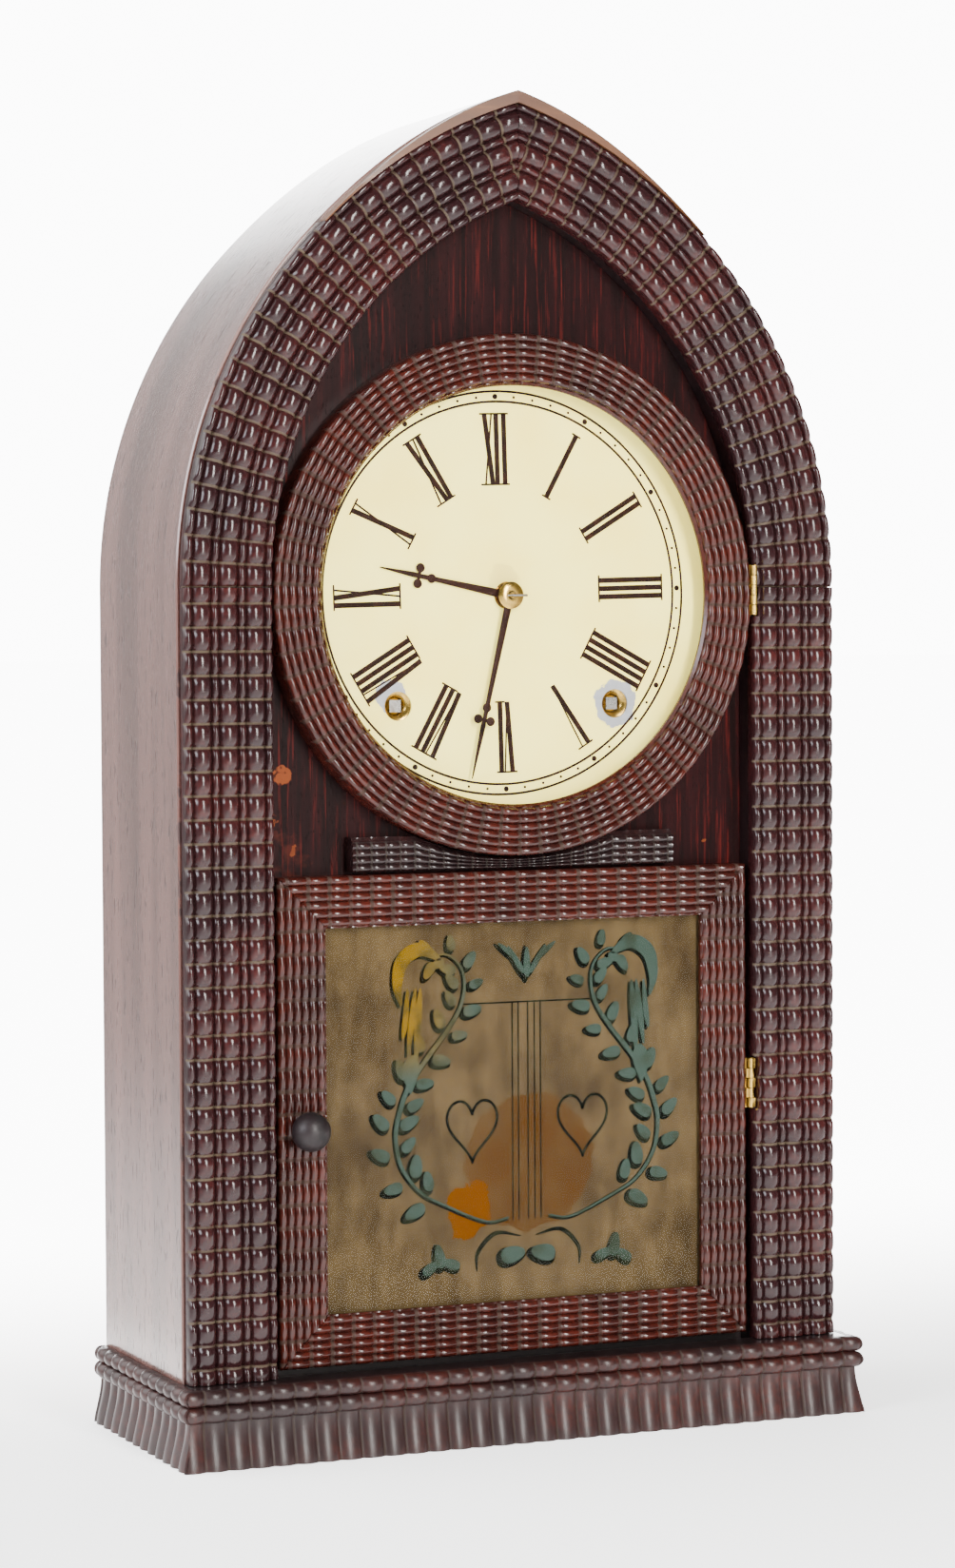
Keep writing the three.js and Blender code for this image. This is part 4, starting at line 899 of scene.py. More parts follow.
@dataclass
class Case:
    """Boards of the case and the mouldings glued to their front."""

    materials: Materials
    section: Section = field(default_factory=lambda: Section.beaded(
        (3, 7, 3, 7, 3, 7, 3), (1.6, 2.5, 1.6, 2.5, 1.6, 2.5, 1.6), 2.5,
        ((MOULDING_WIDTH, 7.0), (0.0, 7.0)), 9))
    ripple: Ripple = Ripple(8.4, 1.5, 1.7)
    inset: float = 1.0

    def build(self) -> None:
        """Makes the boards, the front mouldings and the base mouldings."""
        for side, word in ((-1, "left"), (1, "right")):
            self.boards(side, word)
            self.uprights(side, word)
            self.arch(side, word)
        self.backboard()
        self.dial_rail()
        Base(self.materials).build()

    def boards(self, side: int, word: str) -> None:
        """Makes one bent side board, and the frame behind the mouldings."""
        board = ((0.5, 7.3), (0.0, 7.8), (0.0, 93.5), (0.5, 94.0), (8.0, 94.0), (8.0, 7.3))
        make_piece(f"side_board_{word}", arch_path(side, board, 0.0, 2.9), self.materials.mahogany,
                   "case", [f"case_side_{word}"])
        lip = ((0.99, 0.9), (1.3, 0.6), (1.3, 7.2), (0.99, 7.2))
        make_piece(f"edge_strip_{word}", arch_path(side, lip, SPRING_Z, 3.9, 0.62), self.materials.bare_edge,
                   "case")
        frame = ((8.4, 7.3), (34.0, 7.3), (34.0, 14.0), (8.4, 14.0))
        make_piece(f"frame_board_{word}", arch_path(side, frame, 0.0), self.materials.dark_wood,
                   "case", [f"face_frame_{word}"])

    def uprights(self, side: int, word: str) -> None:
        """Makes the straight moulding beside the doors.

        Run position s is the height, and x = side * (half width - inset - across); the right
        one is cut back behind the hinges.
        """
        ones = np.ones_like(self.section.across)

        def to_space(s: Points, across: Points, back: Points) -> Points:
            """Places the section at a height."""
            cut = sum(smoothstep(s, a - 0.5, a) * smoothstep(-s, -b - 0.5, -b) for a, b in HINGES)
            kept = np.minimum(across, MOULDING_WIDTH - HINGE_RECESS * cut) if side > 0 else across
            return at(side * (CASE_HALF - self.inset - kept), back, s)

        surface = moulding(self.section, self.ripple, ones * BASE_TOP, ones * (SPRING_Z - 0.1), to_space, 14)
        make_piece(f"upright_moulding_{word}", surface, self.materials.frame, "case",
                   [f"front_moulding_{word}"])

    def arch(self, side: int, word: str) -> None:
        """Makes one half of the arch moulding, mitred at the apex.

        Run position s is the arc length at the moulding's middle: angle = s / middle radius.
        """
        middle = ARCH_RADIUS - self.inset - MOULDING_WIDTH / 2
        inset = self.inset + self.section.across
        gap = 0.12 / ARCH_RADIUS
        high = (arch_angle(inset) - gap) * middle

        def to_space(s: Points, across: Points, back: Points) -> Points:
            """Places the section along the arch."""
            return arch_point(side, s / middle, self.inset + across, back)

        surface = moulding(self.section, self.ripple, np.full_like(high, 0.1), high, to_space, 14)
        make_piece(f"arch_run_{word}", surface, self.materials.frame, "case",
                   [f"arch_moulding_{word}"])

    def dial_rail(self) -> None:
        """Makes the small rippled moulding over the lower door, scribed to the bezel.

        Its height above the foot is squeezed to what the bezel leaves at each x.
        """
        back_edge = ((RAIL_HEIGHT, 8.6), (RAIL_HEIGHT, 14.0), (0.0, 14.0))
        section = Section.beaded((2.6,) * 4, (0.9, 1.1, 1.1, 0.9), 7.4, back_edge, 7)

        def to_space(s: Points, across: Points, back: Points) -> Points:
            """Places the section at x = s, under the bezel."""
            free = DIAL_Z - np.sqrt(RAIL_SCRIBE**2 - s**2) - RAIL_FOOT
            return at(s, back, RAIL_FOOT + across * np.minimum(free / RAIL_HEIGHT, 1.0))

        ends = np.full_like(section.across, RAIL_HALF)
        make_piece("scribed_rail", moulding(section, Ripple(5.6, 0.6), -ends, ends, to_space, 12),
                   self.materials.small, "case", ["dial_rail"])

    def backboard(self) -> None:
        """Makes the arched backboard and the paper label pasted inside it."""
        angle = np.linspace(0, 1, 81) * arch_angle(np.array(8.4))
        radius = ARCH_RADIUS - 8.4
        x = ARCH_CENTRE + radius * np.cos(angle)
        z = SPRING_Z + radius * np.sin(angle)
        right = np.stack([np.append(CASE_HALF - 8.4, x), np.append(0.0, z)], -1)
        outline = np.concatenate([right[:-1], [[0.0, right[-1, 1]]], (right[:-1] * [-1, 1])[::-1]])
        make_piece("arched_backboard", plate(outline, 87.5, 94.0), self.materials.pine, "case",
                   ["backboard"])
        sheet = np.array([[-62, 40], [60, 41], [61, 196], [-61, 195]], float)
        make_piece("paper_label", plate(sheet, 87.2, 87.45), self.materials.paper, "case")


@dataclass
class Base:
    """Fluted skirt and two beads, mitred at the front corners."""

    materials: Materials
    half: float = 134.3
    front: float = -10.6
    thickness: float = 5.2
    ripple: Ripple = Ripple(8.4, 1.5)

    def section(self) -> Section:
        """Returns the section: across is the height and back the distance in from the foot."""
        t = np.linspace(0, 1, 15)
        skirt_z = 16.8 * t
        skirt_in = 2.9 * np.sin(0.5 * math.pi * t) ** 1.4
        beads = [(16.8, 5.9, 2.7), (22.7, 5.5, 2.5)]
        a = np.linspace(0, math.pi, 11)[1:]
        bead_z = np.concatenate([z0 + w * (1 - np.cos(a)) / 2 for z0, w, _ in beads])
        bead_in = np.concatenate([2.9 - h * np.sin(a) for _, _, h in beads])
        groove = np.concatenate([np.where(t > 0.93, 1.0, 0.0), np.tile(1 - np.sin(a), 2), [0, 0]])
        across = np.concatenate([skirt_z, bead_z, [28.2, 0.0]])
        back = np.concatenate([skirt_in, bead_in, [self.thickness, self.thickness]])
        weight = np.concatenate([np.ones(len(skirt_z) + len(bead_z)), [0, 0]])
        return Section(across, back, weight, groove)

    def build(self) -> None:
        """Makes the three runs.

        The front's run position is x, the sides' is the depth; both are cut back by the
        section's distance in, so that they meet in a mitre.
        """
        section = self.section()
        gap = 0.1

        def front_space(s: Points, across: Points, back: Points) -> Points:
            """Places the section along the front."""
            return at(s, self.front + back, across)

        reach = self.half - section.back - gap
        make_piece("base_run_front", moulding(section, self.ripple, -reach, reach, front_space, 14),
                   self.materials.base, "case", ["base_moulding_front"])
        for side, word in ((-1, "left"), (1, "right")):

            def side_space(s: Points, across: Points, back: Points, side: int = side) -> Points:
                """Places the section along one side."""
                return at(side * (self.half - back), s, across)

            low = self.front + section.back + gap
            high = np.full_like(low, CASE_DEPTH - 0.1)
            make_piece(f"base_run_{word}", moulding(section, self.ripple, low, high, side_space, 14),
                       self.materials.base, "case", [f"base_moulding_{word}"])


def fine_section(tail: Sequence[tuple[float, float]], crest: float, beaded: float) -> Section:
    """Returns the doors' six-bead section: crest depth, beaded width, then the given corners."""
    return Section.beaded([beaded / 6] * 6, [1.35] * 6, crest + 1.35, tail, 8)


@dataclass
class DialDoor:
    """Round rippled bezel."""

    materials: Materials
    ripples: int = 70

    def build(self) -> None:
        """Makes the ring.

        Run position s is the angle times the middle radius: x = r sin(s / middle),
        z = centre + r cos(s / middle), r = outer radius - across.
        """
        section = fine_section(((17.6, 3.1), (18.5, 4.1), (18.5, 5.2), (10.5, 5.2), (10.5, 14.0),
                                (0.0, 14.0)), 1.7, 17.2)
        middle = RING_OUTER - 9.2
        ripple = Ripple(TURN * middle / self.ripples, 0.85)
        rows = self.ripples * 14
        along = (np.arange(rows) / rows * TURN * middle)[:, None]
        valley = ripple.valley(along)
        back = section.back + section.weight * ripple.height * valley
        radius = RING_OUTER - section.across
        points = at(radius * np.sin(along / middle), back, DIAL_Z + radius * np.cos(along / middle))
        bare = np.where((section.across > 17.3) & (section.back < 5.3), 1.0, 0.0)
        ring = looped(points, closed=True, valley=valley * section.weight, groove=section.groove,
                      bare=np.broadcast_to(bare, valley.shape[:1] + bare.shape))
        make_piece("rippled_bezel", ring, self.materials.fine, "dial_door", ["bezel_ring"])


@dataclass
class TabletDoor:
    """Lower door: four mitred rails round a painted glass, and its knob."""

    materials: Materials
    ripple: Ripple = Ripple(8.1, 0.85)

    def build(self) -> None:
        """Makes the rails, the knob and the painting."""
        tail = ((18.4, 6.0), (18.4, 7.6), (13.9, 7.6), (13.9, 14.0), (0.0, 14.0))
        section = fine_section(tail, 4.3, 17.9)
        gap = 0.1

        def rail(edge: float, sign: int) -> Callable[[Points, Points, Points], Points]:
            """Returns the placing of a rail whose outer edge is at a height."""
            return lambda s, across, back: at(s, back, edge + sign * across)

        def stile(sign: int) -> Callable[[Points, Points, Points], Points]:
            """Returns the placing of a stile at the left or right edge."""
            return lambda s, across, back: at(sign * (DOOR_HALF - across), back, s)

        reach = DOOR_HALF - section.across - gap
        low = DOOR_FOOT + section.across + gap
        high = DOOR_TOP - section.across - gap
        runs = (
            ("door_rail_top", -reach, reach, rail(DOOR_TOP, -1)),
            ("door_rail_bottom", -reach, reach, rail(DOOR_FOOT, 1)),
            ("door_stile_left", low, high, stile(-1)),
            ("door_stile_right", low, high, stile(1)),
        )
        for node, start, end, to_space in runs:
            surface = moulding(section, self.ripple, start, end, to_space, 14)
            make_piece(f"rippled_{node}", surface, self.materials.fine, "tablet_door",
                       [node])
        self.knob()
        Painting(self.materials).build()

    def knob(self) -> None:
        """Makes the turned knob: a ball of radius 7 on a short neck that ends at the door's face."""
        t = np.radians(np.linspace(0, 148, 26))
        ball = list(zip(7 * np.sin(t), -2.6 - 7 * np.cos(t)))
        neck = [(4.0, 3.4), (4.4, 3.7), (4.4, 4.15), (0.001, 4.15)]
        ball[0] = (0.001, ball[0][1])
        make_piece("turned_knob", turned(ball + neck, -83.5, 116.0, 56), self.materials.knob,
                   "latch_knob", ["door_knob"])


@dataclass
class Painting:
    """Stencilled wreath and lyre behind the lower glass."""

    materials: Materials
    near: float = 9.45
    middle: float = 5.5  # the design's own centre line

    def leaf(self, x: float, z: float, angle: float, length: float, width: float) -> Points:
        """Outline of one leaf: half-width w sin(t)^0.8 along its length, a little fuller at the base."""
        t = np.linspace(0, TURN, 21)[:-1]
        along = length / 2 * np.cos(t)
        out = width / 2 * np.sign(np.sin(t)) * np.abs(np.sin(t)) ** 0.85 * (1 - 0.25 * np.cos(t))
        c, s = math.cos(angle), math.sin(angle)
        return np.stack([x + along * c - out * s, z + along * s + out * c], -1)

    def sprays(self) -> tuple[list[Points], list[tuple[Points, Points]]]:
        """Returns the leaves and stems of both halves of the wreath, mirrored about the middle."""
        leaves: list[Points] = []
        stems: list[tuple[Points, Points]] = []
        knots = ((-8, 78.6), (-17.3, 77.8), (-34.2, 85), (-43.4, 90.3), (-50.3, 99.7), (-52.3, 110.5),
                 (-50.8, 118.8), (-47.2, 128.3), (-40.3, 137.8), (-32.6, 147.2), (-27.2, 155.4),
                 (-25.2, 163.5), (-26.5, 170.4), (-31.9, 175.3), (-38.8, 174.8))
        stem = curve(knots, 120)
        run = np.gradient(stem, axis=0)
        for side in (-1, 1):
            mirror = np.array([-side, 1.0])
            shift = np.array([self.middle, 0.0])
            width = 1.5 + 1.1 * np.sin(np.linspace(0, math.pi, 120)) ** 2
            stems.append((stem * mirror + shift, width))
            for k, i in enumerate(range(20, 118, 8)):
                heading = math.atan2(run[i, 1], run[i, 0])
                for edge in (-1, 1):
                    angle = heading + edge * 0.95
                    reach = 7.8 - 0.02 * i
                    centre = stem[i] + reach * np.array([math.cos(angle), math.sin(angle)])
                    size = 10.4 - 0.025 * i + 0.9 * math.sin(2.7 * k + edge)
                    shape = self.leaf(*centre, angle + 0.15 * math.sin(k * 1.9), size, size * 0.56)
                    leaves.append(shape * mirror + shift)
        return leaves, stems

    def plumes(self) -> list[tuple[Points, Points]]:
        """Returns the drooping plume inside each upper corner, as tapering strokes."""
        strokes: list[tuple[Points, Points]] = []
        t = np.linspace(0, 1, 40)
        swell = np.sin(np.pi * t) ** 0.8
        for side in (-1, 1):
            mirror = np.array([-side, 1.0])
            shift = np.array([self.middle, 0.0])
            hook = curve([(-34, 174), (-42, 178), (-49, 174), (-51, 165), (-49.5, 158)], 40)
            strokes.append((hook * mirror + shift, 0.8 + 6.5 * swell * (1 - 0.6 * t)))
            for x0, x1, z1, w in ((-42, -46, 136, 2.2), (-44, -49, 140, 1.8), (-47, -51, 146, 1.6)):
                drop = curve([(x0, 164), ((x0 + x1) / 2 + 1, 152), (x1 + 2, z1)], 40)
                strokes.append((drop * mirror + shift, 0.6 + w * swell))
            bud = curve([(-45, 140), (-46, 133), (-46, 126)], 40)
            strokes.append((bud * mirror + shift, 0.5 + 6.0 * np.sin(np.pi * t**0.7)))
        return strokes

    def lyre(self) -> list[tuple[Points, Points]]:
        """Returns strings, crossbar and two hearts; the fleuron and the foot's tendrils come from
        ornaments().
        """
        strokes: list[tuple[Points, Points]] = []
        for offset in (-6.0, -3.6, 0.2, 2.8, 5.2):
            line = curve([(self.middle + offset, 158), (self.middle + offset, 78)], 12)
            strokes.append((line, np.full(12, 0.55)))
        bar = curve([(self.middle - 26, 157.5), (self.middle + 26, 157.5)], 12)
        strokes.append((bar, np.full(12, 0.6)))
        t = np.linspace(0, TURN, 61)
        rise = 13 * np.cos(t) - 5 * np.cos(2 * t) - 2 * np.cos(3 * t) - np.cos(4 * t)
        heart = np.stack([0.62 * 16 * np.sin(t) ** 3, 0.78 * rise], -1)
        for offset in (-22.0, 22.0):
            shape = heart[1:-1] + [self.middle + offset, 113.0]
            strokes.append((shape, np.full(len(shape), 1.1)))
        return strokes

    def ornaments(self) -> tuple[list[Points], list[tuple[Points, Points]]]:
        """Returns the leaves of the fleuron and the foot, and their tendrils."""
        x = self.middle
        leaves = [self.leaf(x + dx, z, math.radians(a), length, width) for dx, z, a, length, width in (
            (0, 172, 90, 14, 3.2), (-4.4, 173, 122, 15, 2.6), (4.4, 173, 58, 15, 2.6),
            (-8, 176.5, 142, 11, 2.4), (8, 176.5, 38, 11, 2.4),
            (-6, 65.5, 10, 12, 7.5), (6, 65.5, 170, 12, 7.5),
            (-35, 66.5, 100, 11, 5), (-30.5, 63.5, 160, 9, 4.6), (-38.5, 62.5, 35, 9, 4.6),
            (35, 66.5, 80, 11, 5), (30.5, 63.5, 20, 9, 4.6), (38.5, 62.5, 145, 9, 4.6))]
        tendrils = []
        for side in (-1, 1):
            knots = ((3, 72), (13, 73.5), (20, 67), (20.5, 60))
            path = curve([(x + side * dx, z) for dx, z in knots], 30)
            tendrils.append((path, 0.5 + 1.3 * np.sin(np.linspace(0, math.pi, 30))))
        return leaves, tendrils

    def build(self) -> None:
        """Makes the ground, the painted shapes, the dark strokes and painted shadows: a darker copy of each
        leaf and plume set down and to the left behind its lit copy, which is smaller for the leaves, and a
        dark stem under a narrower lit one set up and to the right.
        """
        leaves, stems = self.sprays()
        more, tendrils = self.ornaments()
        leaves = leaves + more
        plumes, lines = self.plumes(), self.lyre()
        # Shapes overlap, so each lies a few microns off its neighbours.
        step = 0.006

        def laid(base: float, shift: Points, shapes: list, extra: float = 0.0) -> list[Surface]:
            """Makes thin shapes with their fronts near a depth."""
            out = []
            for k, shape in enumerate(shapes):
                near = base + step * (k % 7)
                if isinstance(shape, tuple):
                    out.append(ribbon(shape[0] + shift, shape[1] + extra, near, near + 0.03))
                else:
                    out.append(plate(shape + shift, near, near + 0.03))
            return out

        # Painted shade: the dark copies are offset down and to the left, so that a painted shadow shows on
        # that side of each shape.
        none, edge = np.zeros(2), np.array([-1.0, -0.9])
        lit = [leaf.mean(0) + 0.8 * (leaf - leaf.mean(0)) for leaf in leaves]
        bright = laid(self.near, none, lit + plumes) + laid(self.near + 0.05, -0.45 * edge, stems, -0.9)
        dark = laid(self.near + 0.1, edge, leaves + plumes, 0.3)
        dark += laid(self.near + 0.1, none, stems + tendrils + lines)
        make_piece("painted_leaves", merged(bright), self.materials.leaf, "tablet_door")
        make_piece("painted_shadows_and_dark_strokes", merged(dark), self.materials.shadow, "tablet_door")
        sheet = np.array([[-78.2, 45.1], [78.2, 45.1], [78.2, 191.0], [-78.2, 191.0]])
        make_piece("painted_ground", plate(sheet, self.near + 0.2, self.near + 0.3), self.materials.ground,
                   "tablet_door")


class Glyph(Enum):
    """Letters of the numerals: advance, then strokes as top x, bottom x and width."""

    I = (3.0, ((0.7, 0.7, 1.9),))
    V = (4.2, ((0.6, 2.1, 1.9), (3.5, 2.1, 0.6)))
    X = (4.3, ((0.4, 3.2, 1.9), (3.2, 0.4, 0.7)))


@dataclass
class Dial:
    """Painted dial plate and its printing.

    Attributes:
        materials: Finishes.
        twist: How far the printing is turned anticlockwise, in degrees.
        centre: x and z of the printing's centre.
    """

    materials: Materials
    twist: float = 1.5
    centre: tuple[float, float] = (-2.6, DIAL_Z + 0.8)
    inner: float = 39.4
    outer: float = 64.9

    def build(self) -> None:
        """Makes the plate and the print."""
        self.plate()
        near = 13.15
        far = near + 0.04
        marks = [turned_ring(((r - 0.42, near), (r + 0.42, near), (r + 0.42, far), (r - 0.42, far)),
                             *self.centre, 360) for r in (69.3, 73.0)]
        for minute in range(60):
            size = 1.0 if minute % 5 == 0 else 0.5
            x, z = self.polar(71.1, TURN * minute / 60)
            t = np.linspace(0, TURN, 17)[:-1]
            outline = np.stack([x + size * np.cos(t), z + size * np.sin(t)], -1)
            marks.append(plate(outline, near, far))
        words = ("XII", "I", "II", "III", "IIII", "V", "VI", "VII", "VIII", "IX", "X", "XI")
        for hour, word in enumerate(words):
            marks += self.numeral(word, TURN * hour / 12, near)
        make_piece("dial_printing", merged(marks), self.materials.ink, "case")

    def polar(self, radius: Points, angle: Points) -> tuple[Points, Points]:
        """Returns x and z at a radius and an angle clockwise from the print's own twelve."""
        turned_by = angle - math.radians(self.twist)
        return self.centre[0] + radius * np.sin(turned_by), self.centre[1] + radius * np.cos(turned_by)

    def numeral(self, word: str, angle: float, near: float) -> list[Surface]:
        """Returns one numeral with its foot to the centre and its strokes side by side."""
        toward = angle - math.radians(self.twist)

        def stroke(across: Sequence[float], radius: Sequence[float]) -> Points:
            """Returns an outline from offsets along the chapter ring and radii."""
            x, z = self.polar(np.array(radius), angle)
            across = np.array(across)
            return np.stack([x + across * math.cos(toward), z - across * math.sin(toward)], -1)

        width = sum(Glyph[c].value[0] for c in word) - 1.1
        pen = -width / 2 - 0.3
        bars: list[tuple[float, float, float, float, float]] = []
        foot: list[float] = []
        for letter in word:
            advance, strokes = Glyph[letter].value
            bars += [(pen + top, pen + bottom, w, self.outer, self.inner) for top, bottom, w in strokes]
            if letter != "V":
                foot += [pen + bottom for _, bottom, _ in strokes]
            pen += advance
        tops = [top for top, _, _, _, _ in bars]
        surfaces = []
        for k, (top, bottom, w, r1, r0) in enumerate(bars):
            across = (top - w / 2, top + w / 2, bottom + w / 2, bottom - w / 2)
            surfaces.append(plate(stroke(across, (r1, r1, r0, r0)), near - 0.004 * k, near + 0.04))
        for ends, r in ((tops, self.outer), (foot, self.inner)):
            if ends:
                across = (min(ends) - 1.9, max(ends) + 1.9, max(ends) + 1.9, min(ends) - 1.9)
                radius = (r + 0.32, r + 0.32, r - 0.32, r - 0.32)
                surfaces.append(plate(stroke(across, radius), near - 0.03, near + 0.04))
        return surfaces

    def plate(self) -> None:
        """Makes the round plate with its three holes, all smooth."""

        def circle(x: float, z: float, r: float, steps: int) -> Points:
            """Returns an outline: (x + r cos t, z + r sin t)."""
            t = np.arange(steps) * TURN / steps
            return np.stack([x + r * np.cos(t), z + r * np.sin(t)], -1)

        rims = [circle(0, DIAL_Z, 82, 180), circle(0, DIAL_Z, 5, 48),
                circle(-WINDING_X, WINDING_Z, 5.25, 56), circle(WINDING_X, WINDING_Z, 5.25, 56)]
        flat = np.concatenate(rims)
        triangles = np.array(tessellate_polygon([[Vector((x, z, 0)) for x, z in rim] for rim in rims]))
        count = len(flat)
        walls = []
        start = 0
        for rim in rims:
            i = start + np.arange(len(rim))
            j = np.roll(i, -1)
            walls.append(np.stack([i, j, j + count, i + count], -1) if start == 0
                         else np.stack([j, i, i + count, j + count], -1))
            start += len(rim)
        a, b, c = (flat[triangles[:, k]] for k in range(3))
        ab, ac = b - a, c - a
        wrong = ab[:, 0] * ac[:, 1] - ab[:, 1] * ac[:, 0] < 0
        triangles[wrong] = triangles[wrong][:, ::-1]
        points = np.concatenate([at(flat[:, 0], 13.2, flat[:, 1]), at(flat[:, 0], 14.0, flat[:, 1])])
        faces = [triangles[:, ::-1], triangles + count, *walls]
        make_piece("dial_sheet", Surface(points, faces).outward(), self.materials.dial, "case",
                   ["dial_plate"])


@dataclass
class Hands:
    """Trefoil hands and their collet."""

    materials: Materials

    def hand(self, reach: float, ball: float, cross: float, spread: float, hub: float, depth: float,
             thickness: float, clock_angle: float) -> Surface:
        """Makes one hand as a rounded blade with a ball and a cross of two lobes.

        P(r, t) = r along the hand, w(r) cos t across it and h sin t through it, turned to
        its place on the dial.

        Args:
            reach: Length from the centre to the tip.
            ball: Distance of the ball.
            cross: Distance of the cross.
            spread: Distance of each lobe from the hand's middle line.
            hub: Radius of the hub.
            depth: Depth of its middle.
            thickness: Full thickness.
            clock_angle: Degrees clockwise from twelve.

        Returns:
            The hand.
        """
        angle = math.radians(clock_angle)
        half = thickness / 2

        def spin(along: Points, across: Points, through: Points) -> Points:
            """Places points along, across and through the hand, turned to its angle."""
            x = along * math.sin(angle) + across * math.cos(angle)
            z = DIAL_Z + along * math.cos(angle) - across * math.sin(angle)
            return at(x, depth + through, z)

        t = np.arange(20) * TURN / 20
        r = np.linspace(hub * 0.5, reach, 90)[:, None]
        width = np.interp(r, [0, hub, ball - 3, ball, cross, cross + 2, reach],
                          [1.6, 1.5, 0.9, 0.95, 0.8, 1.0, 0.22])
        height = np.minimum(half, width)
        parts = [looped(spin(r * np.ones(20), width * np.cos(t), height * np.sin(t)))]
        u = np.linspace(0.001, math.pi - 0.001, 13)[:, None]
        lobes = [(ball, 0.0, 1.7), (cross, spread, 1.7), (cross, -spread, 1.7)]
        for along, across, size in lobes:
            lobe = spin(along + size * np.sin(u) * np.cos(t), across + size * np.sin(u) * np.sin(t),
                        half * np.cos(u) * np.ones(20))
            parts.append(looped(lobe))
        s = np.linspace(-spread, spread, 9)[:, None]
        arm = 0.55 + 0.25 * np.abs(s) / spread
        stalk = spin(cross + arm * np.cos(t), s * np.ones(20), half * 0.9 * np.sin(t) * np.ones((9, 1)))
        parts.append(looped(stalk))
        parts.append(looped(spin(hub * np.sin(u) * np.cos(t), hub * np.sin(u) * np.sin(t),
                                 half * np.cos(u) * np.ones(20))))
        return merged(parts)

    def build(self) -> None:
        """Makes both hands, the minute hand's pipe and the brass collet."""
        minute = self.hand(68.0, 41.7, 46.3, 2.5, 3.4, 10.3, 0.7, 193.1)
        pipe = turned(((0.001, 10.0), (2.4, 10.0), (2.4, 23.6), (0.001, 23.6)), 0, DIAL_Z, 24)
        make_piece("trefoil_minute_hand", merged([minute, pipe]), self.materials.browned, "minute_work",
                   ["minute_hand"])
        hour = self.hand(51.0, 30.6, 35.6, 2.9, 4.6, 12.35, 0.7, 281.5)
        make_piece("trefoil_hour_hand", hour, self.materials.browned, "hour_work",
                   ["hour_hand"])
        t = np.linspace(0, 1, 14)
        dome = [(1.6 + 3.3 * v, 8.5 + 1.0 * v**2.4) for v in t]
        make_piece("collet", turned_ring([*dome, (4.9, 9.65), (1.6, 9.65)], 0, DIAL_Z, 64),
                   self.materials.brass, "minute_work", ["hand_washer"])


@dataclass
class Movement:
    """Smooth bob, winding ferrules and springs; the wheels, plates and gong keep their CAD shapes."""

    materials: Materials

    def build(self) -> None:
        """Makes the round parts that show through the open doors."""
        t = np.linspace(0.0, math.pi, 33)
        bob = [(max(25 * math.sin(a), 0.001), 70 - 5.5 * math.cos(a)) for a in t]
        make_piece("lens_bob", turned(bob, 0, 118, 96), self.materials.brass, "pendulum",
                   ["pendulum_bob"])
        for word, x in (("time", WINDING_X), ("strike", -WINDING_X)):
            rim = ((2.9, 17.0), (3.6, 15.9), (5.0, 14.9), (6.6, 14.6), (6.6, 15.0), (4.0, 17.4), (2.9, 17.4))
            make_piece(f"{word}_ferrule", turned_ring(rim, x, WINDING_Z, 48), self.materials.brass, "case")
            low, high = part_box(f"{word}_mainspring")
            near, far = (v / MM - CREST_Y for v in (low.y, high.y))
            coil = self.spiral(x, WINDING_Z, 6.3, 19.6, 9, 0.45, near, far)
            make_piece(f"{word}_spring_coil", coil, self.materials.spring, "case",
                       [f"{word}_mainspring"])

    def spiral(self, x: float, z: float, first: float, last: float, turns: int, thickness: float,
               near: float, far: float) -> Surface:
        """Makes a flat-strip spiral: r = first + (last - first) a / (2 pi turns)."""
        a = np.linspace(0, TURN * turns, 72 * turns)
        r = (first + (last - first) * a / a[-1])[:, None]
        offset = np.array([-1, 1, 1, -1]) * thickness / 2
        depth = np.array([near, near, far, far])
        angle = a[:, None]
        return looped(at(x + (r + offset) * np.sin(angle), depth, z + (r + offset) * np.cos(angle)))


CAD_FINISHES: dict[str, tuple[str, ...]] = {
    "mahogany": ("case_side_left", "case_side_right"),
    "dark_wood": ("face_frame_left", "face_frame_right", "dial_rail", "base_rail", "bottom_board"),
    "frame": ("front_moulding_left", "front_moulding_right", "arch_moulding_left", "arch_moulding_right"),
    "base": ("base_moulding_front", "base_moulding_left", "base_moulding_right"),
    "fine": ("bezel_ring", "door_rail_top", "door_rail_bottom", "door_stile_left", "door_stile_right"),
    "rosewood": ("front_panel",),
    "pine": ("backboard", "seat_board", "gong_block"),
    "dial": ("dial_plate",),
    "glass": ("bezel_glass",),
    "tablet_glass": ("tablet_glass",),
    "browned": ("minute_hand", "hour_hand"),
    "knob": ("door_knob",),
    "steel": ("knob_latch", "hand_pin", "time_winding_arbor", "strike_winding_arbor", "verge",
              "pendulum_rod"),
    "spring": ("time_mainspring", "strike_mainspring", "gong_coil", "strike_hammer"),
}


def paint_cad_nodes(nodes: dict[str, bpy.types.Object], materials: Materials) -> None:
    """Gives every CAD node a finish; those not listed are brass."""
    by_node = {node: name for name, group in CAD_FINISHES.items() for node in group}
    for name, node in nodes.items():
        node.data.materials.clear()
        node.data.materials.append(getattr(materials, by_node.get(name, "brass")))


# ------------------------------------------------------------------------------- the studio


@dataclass(frozen=True)
class Lamp:
    """An elliptical area light: place, target, size and height in metres, power in watts."""

    name: str
    place: tuple[float, float, float]
    target: tuple[float, float, float]
    size: float
    height: float
    power: float
    tint: str

    def build(self) -> None:
        """Adds the light."""
        data = bpy.data.lights.new(self.name, "AREA")
        data.shape = "ELLIPSE"
        data.size = self.size
        data.size_y = self.height
        data.energy = self.power
        data.color = srgb(self.tint)[:3]
        lamp = bpy.data.objects.new(self.name, data)
        lamp.location = self.place
        aim = Vector(self.target) - Vector(self.place)
        lamp.rotation_euler = aim.to_track_quat("-Z", "Y").to_euler()
        bpy.context.scene.collection.objects.link(lamp)


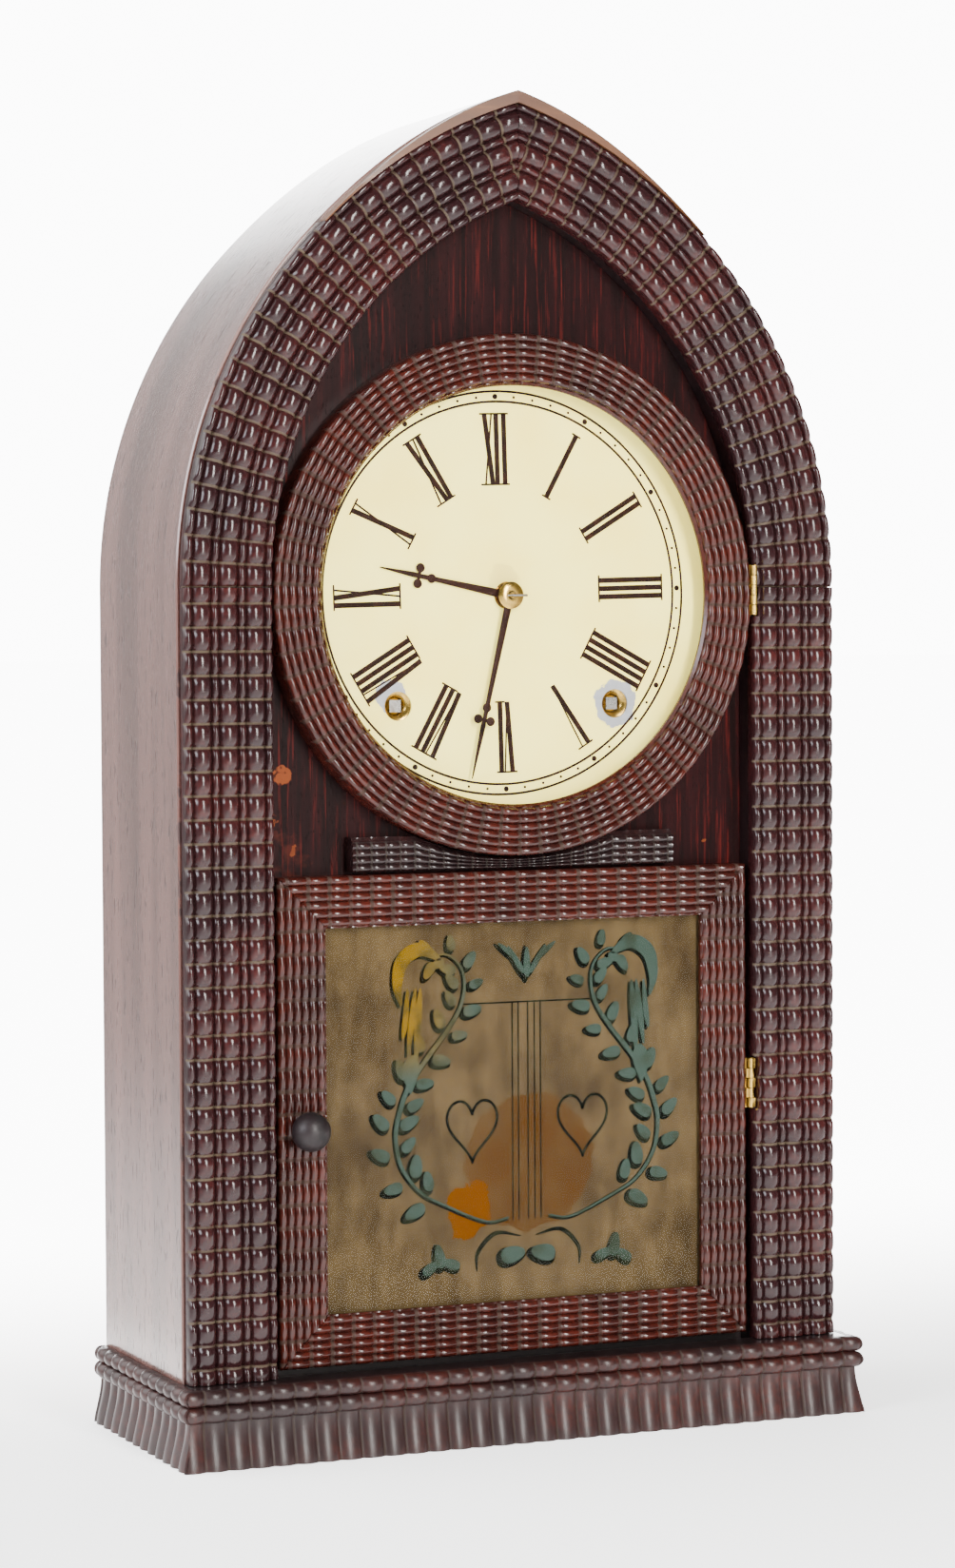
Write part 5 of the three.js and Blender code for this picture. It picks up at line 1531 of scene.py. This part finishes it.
@dataclass
class Studio:
    """Floor, lights and camera."""

    position: tuple[float, float, float] = (-0.58214, -1.35108, 0.29187)
    yaw: float = math.radians(23.316)
    pitch: float = math.radians(2.184)
    roll: float = math.radians(-0.311)
    lens: float = 91.31
    # Regions of the white room: axis, where the rise starts and ends (cosines), brightness.
    room: tuple[tuple[tuple[float, float, float], float, float, float, float], ...] = (
        ((0, 1, 0), -0.4, 0.4, 0.12, 0.7),
        ((0.39, 0.92, 0), 0.86, 0.95, 0.0, 11.0),
        ((-0.75, 0.3, 0.6), 0.72, 0.95, 0.0, 5.5),
    )
    lamps: tuple[Lamp, ...] = (
        Lamp("flash", (0.1, -1.65, 0.85), (0, 0, 0.35), 0.3, 1.6, 70.0, "#fffdf8"),
        Lamp("window", (-1.8, -0.6, 0.9), (0, 0, 0.28), 0.9, 0.9, 30.0, "#f1f5ff"),
    )

    def build(self) -> None:
        """Sets up the world, the floor, the lamps and the camera."""
        world = bpy.data.worlds.new("studio_world")
        world.use_nodes = True
        tree = world.node_tree
        background = tree.nodes["Background"]
        background.inputs["Color"].default_value = srgb("#ffffff")
        direction = tree.nodes.new("ShaderNodeTexCoord").outputs["Generated"]
        # Each region of the room adds its own brightness where the direction nears its axis.
        total = None
        for axis, low, high, start, end in self.room:
            near = tree.nodes.new("ShaderNodeVectorMath")
            near.operation = "DOT_PRODUCT"
            tree.links.new(direction, near.inputs[0])
            near.inputs[1].default_value = Vector(axis).normalized()
            rise = tree.nodes.new("ShaderNodeMapRange")
            rise.interpolation_type = "SMOOTHSTEP"
            for key, value in (("From Min", low), ("From Max", high), ("To Min", start), ("To Max", end)):
                rise.inputs[key].default_value = value
            tree.links.new(near.outputs["Value"], rise.inputs["Value"])
            added = rise.outputs["Result"]
            if total is not None:
                both = tree.nodes.new("ShaderNodeMath")
                tree.links.new(total, both.inputs[0])
                tree.links.new(added, both.inputs[1])
                added = both.outputs[0]
            total = added
        tree.links.new(total, background.inputs["Strength"])
        bpy.context.scene.world = world
        mesh = bpy.data.meshes.new("floor")
        size = 40.0
        corners = [(-size, -size, 0), (size, -size, 0), (size, size, 0), (-size, size, 0)]
        mesh.from_pydata(corners, [], [(0, 1, 2, 3)])
        mesh.materials.append(studio_material("floor_paint", "#f6f6f6"))
        floor = bpy.data.objects.new("floor", mesh)
        bpy.context.scene.collection.objects.link(floor)
        floor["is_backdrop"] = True
        for lamp in self.lamps:
            lamp.build()
        self.camera()

    def camera(self) -> None:
        """Places the camera; its axes come from yaw, pitch and roll in turn."""
        forward = Vector((math.sin(self.yaw) * math.cos(self.pitch),
                          math.cos(self.yaw) * math.cos(self.pitch), -math.sin(self.pitch)))
        level = Vector((math.cos(self.yaw), -math.sin(self.yaw), 0))
        above = level.cross(forward)
        right = level * math.cos(self.roll) + above * math.sin(self.roll)
        up = above * math.cos(self.roll) - level * math.sin(self.roll)
        data = bpy.data.cameras.new("camera")
        data.lens = self.lens
        data.sensor_width = 36.0
        data.clip_start = 0.05
        camera = bpy.data.objects.new("camera", data)
        turn = Matrix((right, up, -forward)).transposed().to_4x4()
        camera.matrix_world = Matrix.Translation(self.position) @ turn
        bpy.context.scene.collection.objects.link(camera)
        bpy.context.scene.camera = camera


def as_lists(bounds: object) -> list:
    """Turns nested vectors into plain lists of numbers."""
    return [float(v) if isinstance(v, (int, float)) else as_lists(v) for v in bounds]


def main() -> None:
    """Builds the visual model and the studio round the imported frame."""
    logging.basicConfig(level=logging.INFO, format="%(message)s")
    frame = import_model()
    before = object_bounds()
    materials = Materials.build()
    paint_cad_nodes(frame["nodes"], materials)
    for assembly in (Case(materials), DialDoor(materials), TabletDoor(materials), Dial(materials),
                     Hands(materials), Movement(materials), Studio()):
        LOG.info("building %s", type(assembly).__name__)
        assembly.build()
    {"cad": as_lists(before), "visual": as_lists(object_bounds())}


if __name__ == "__main__":
    main()
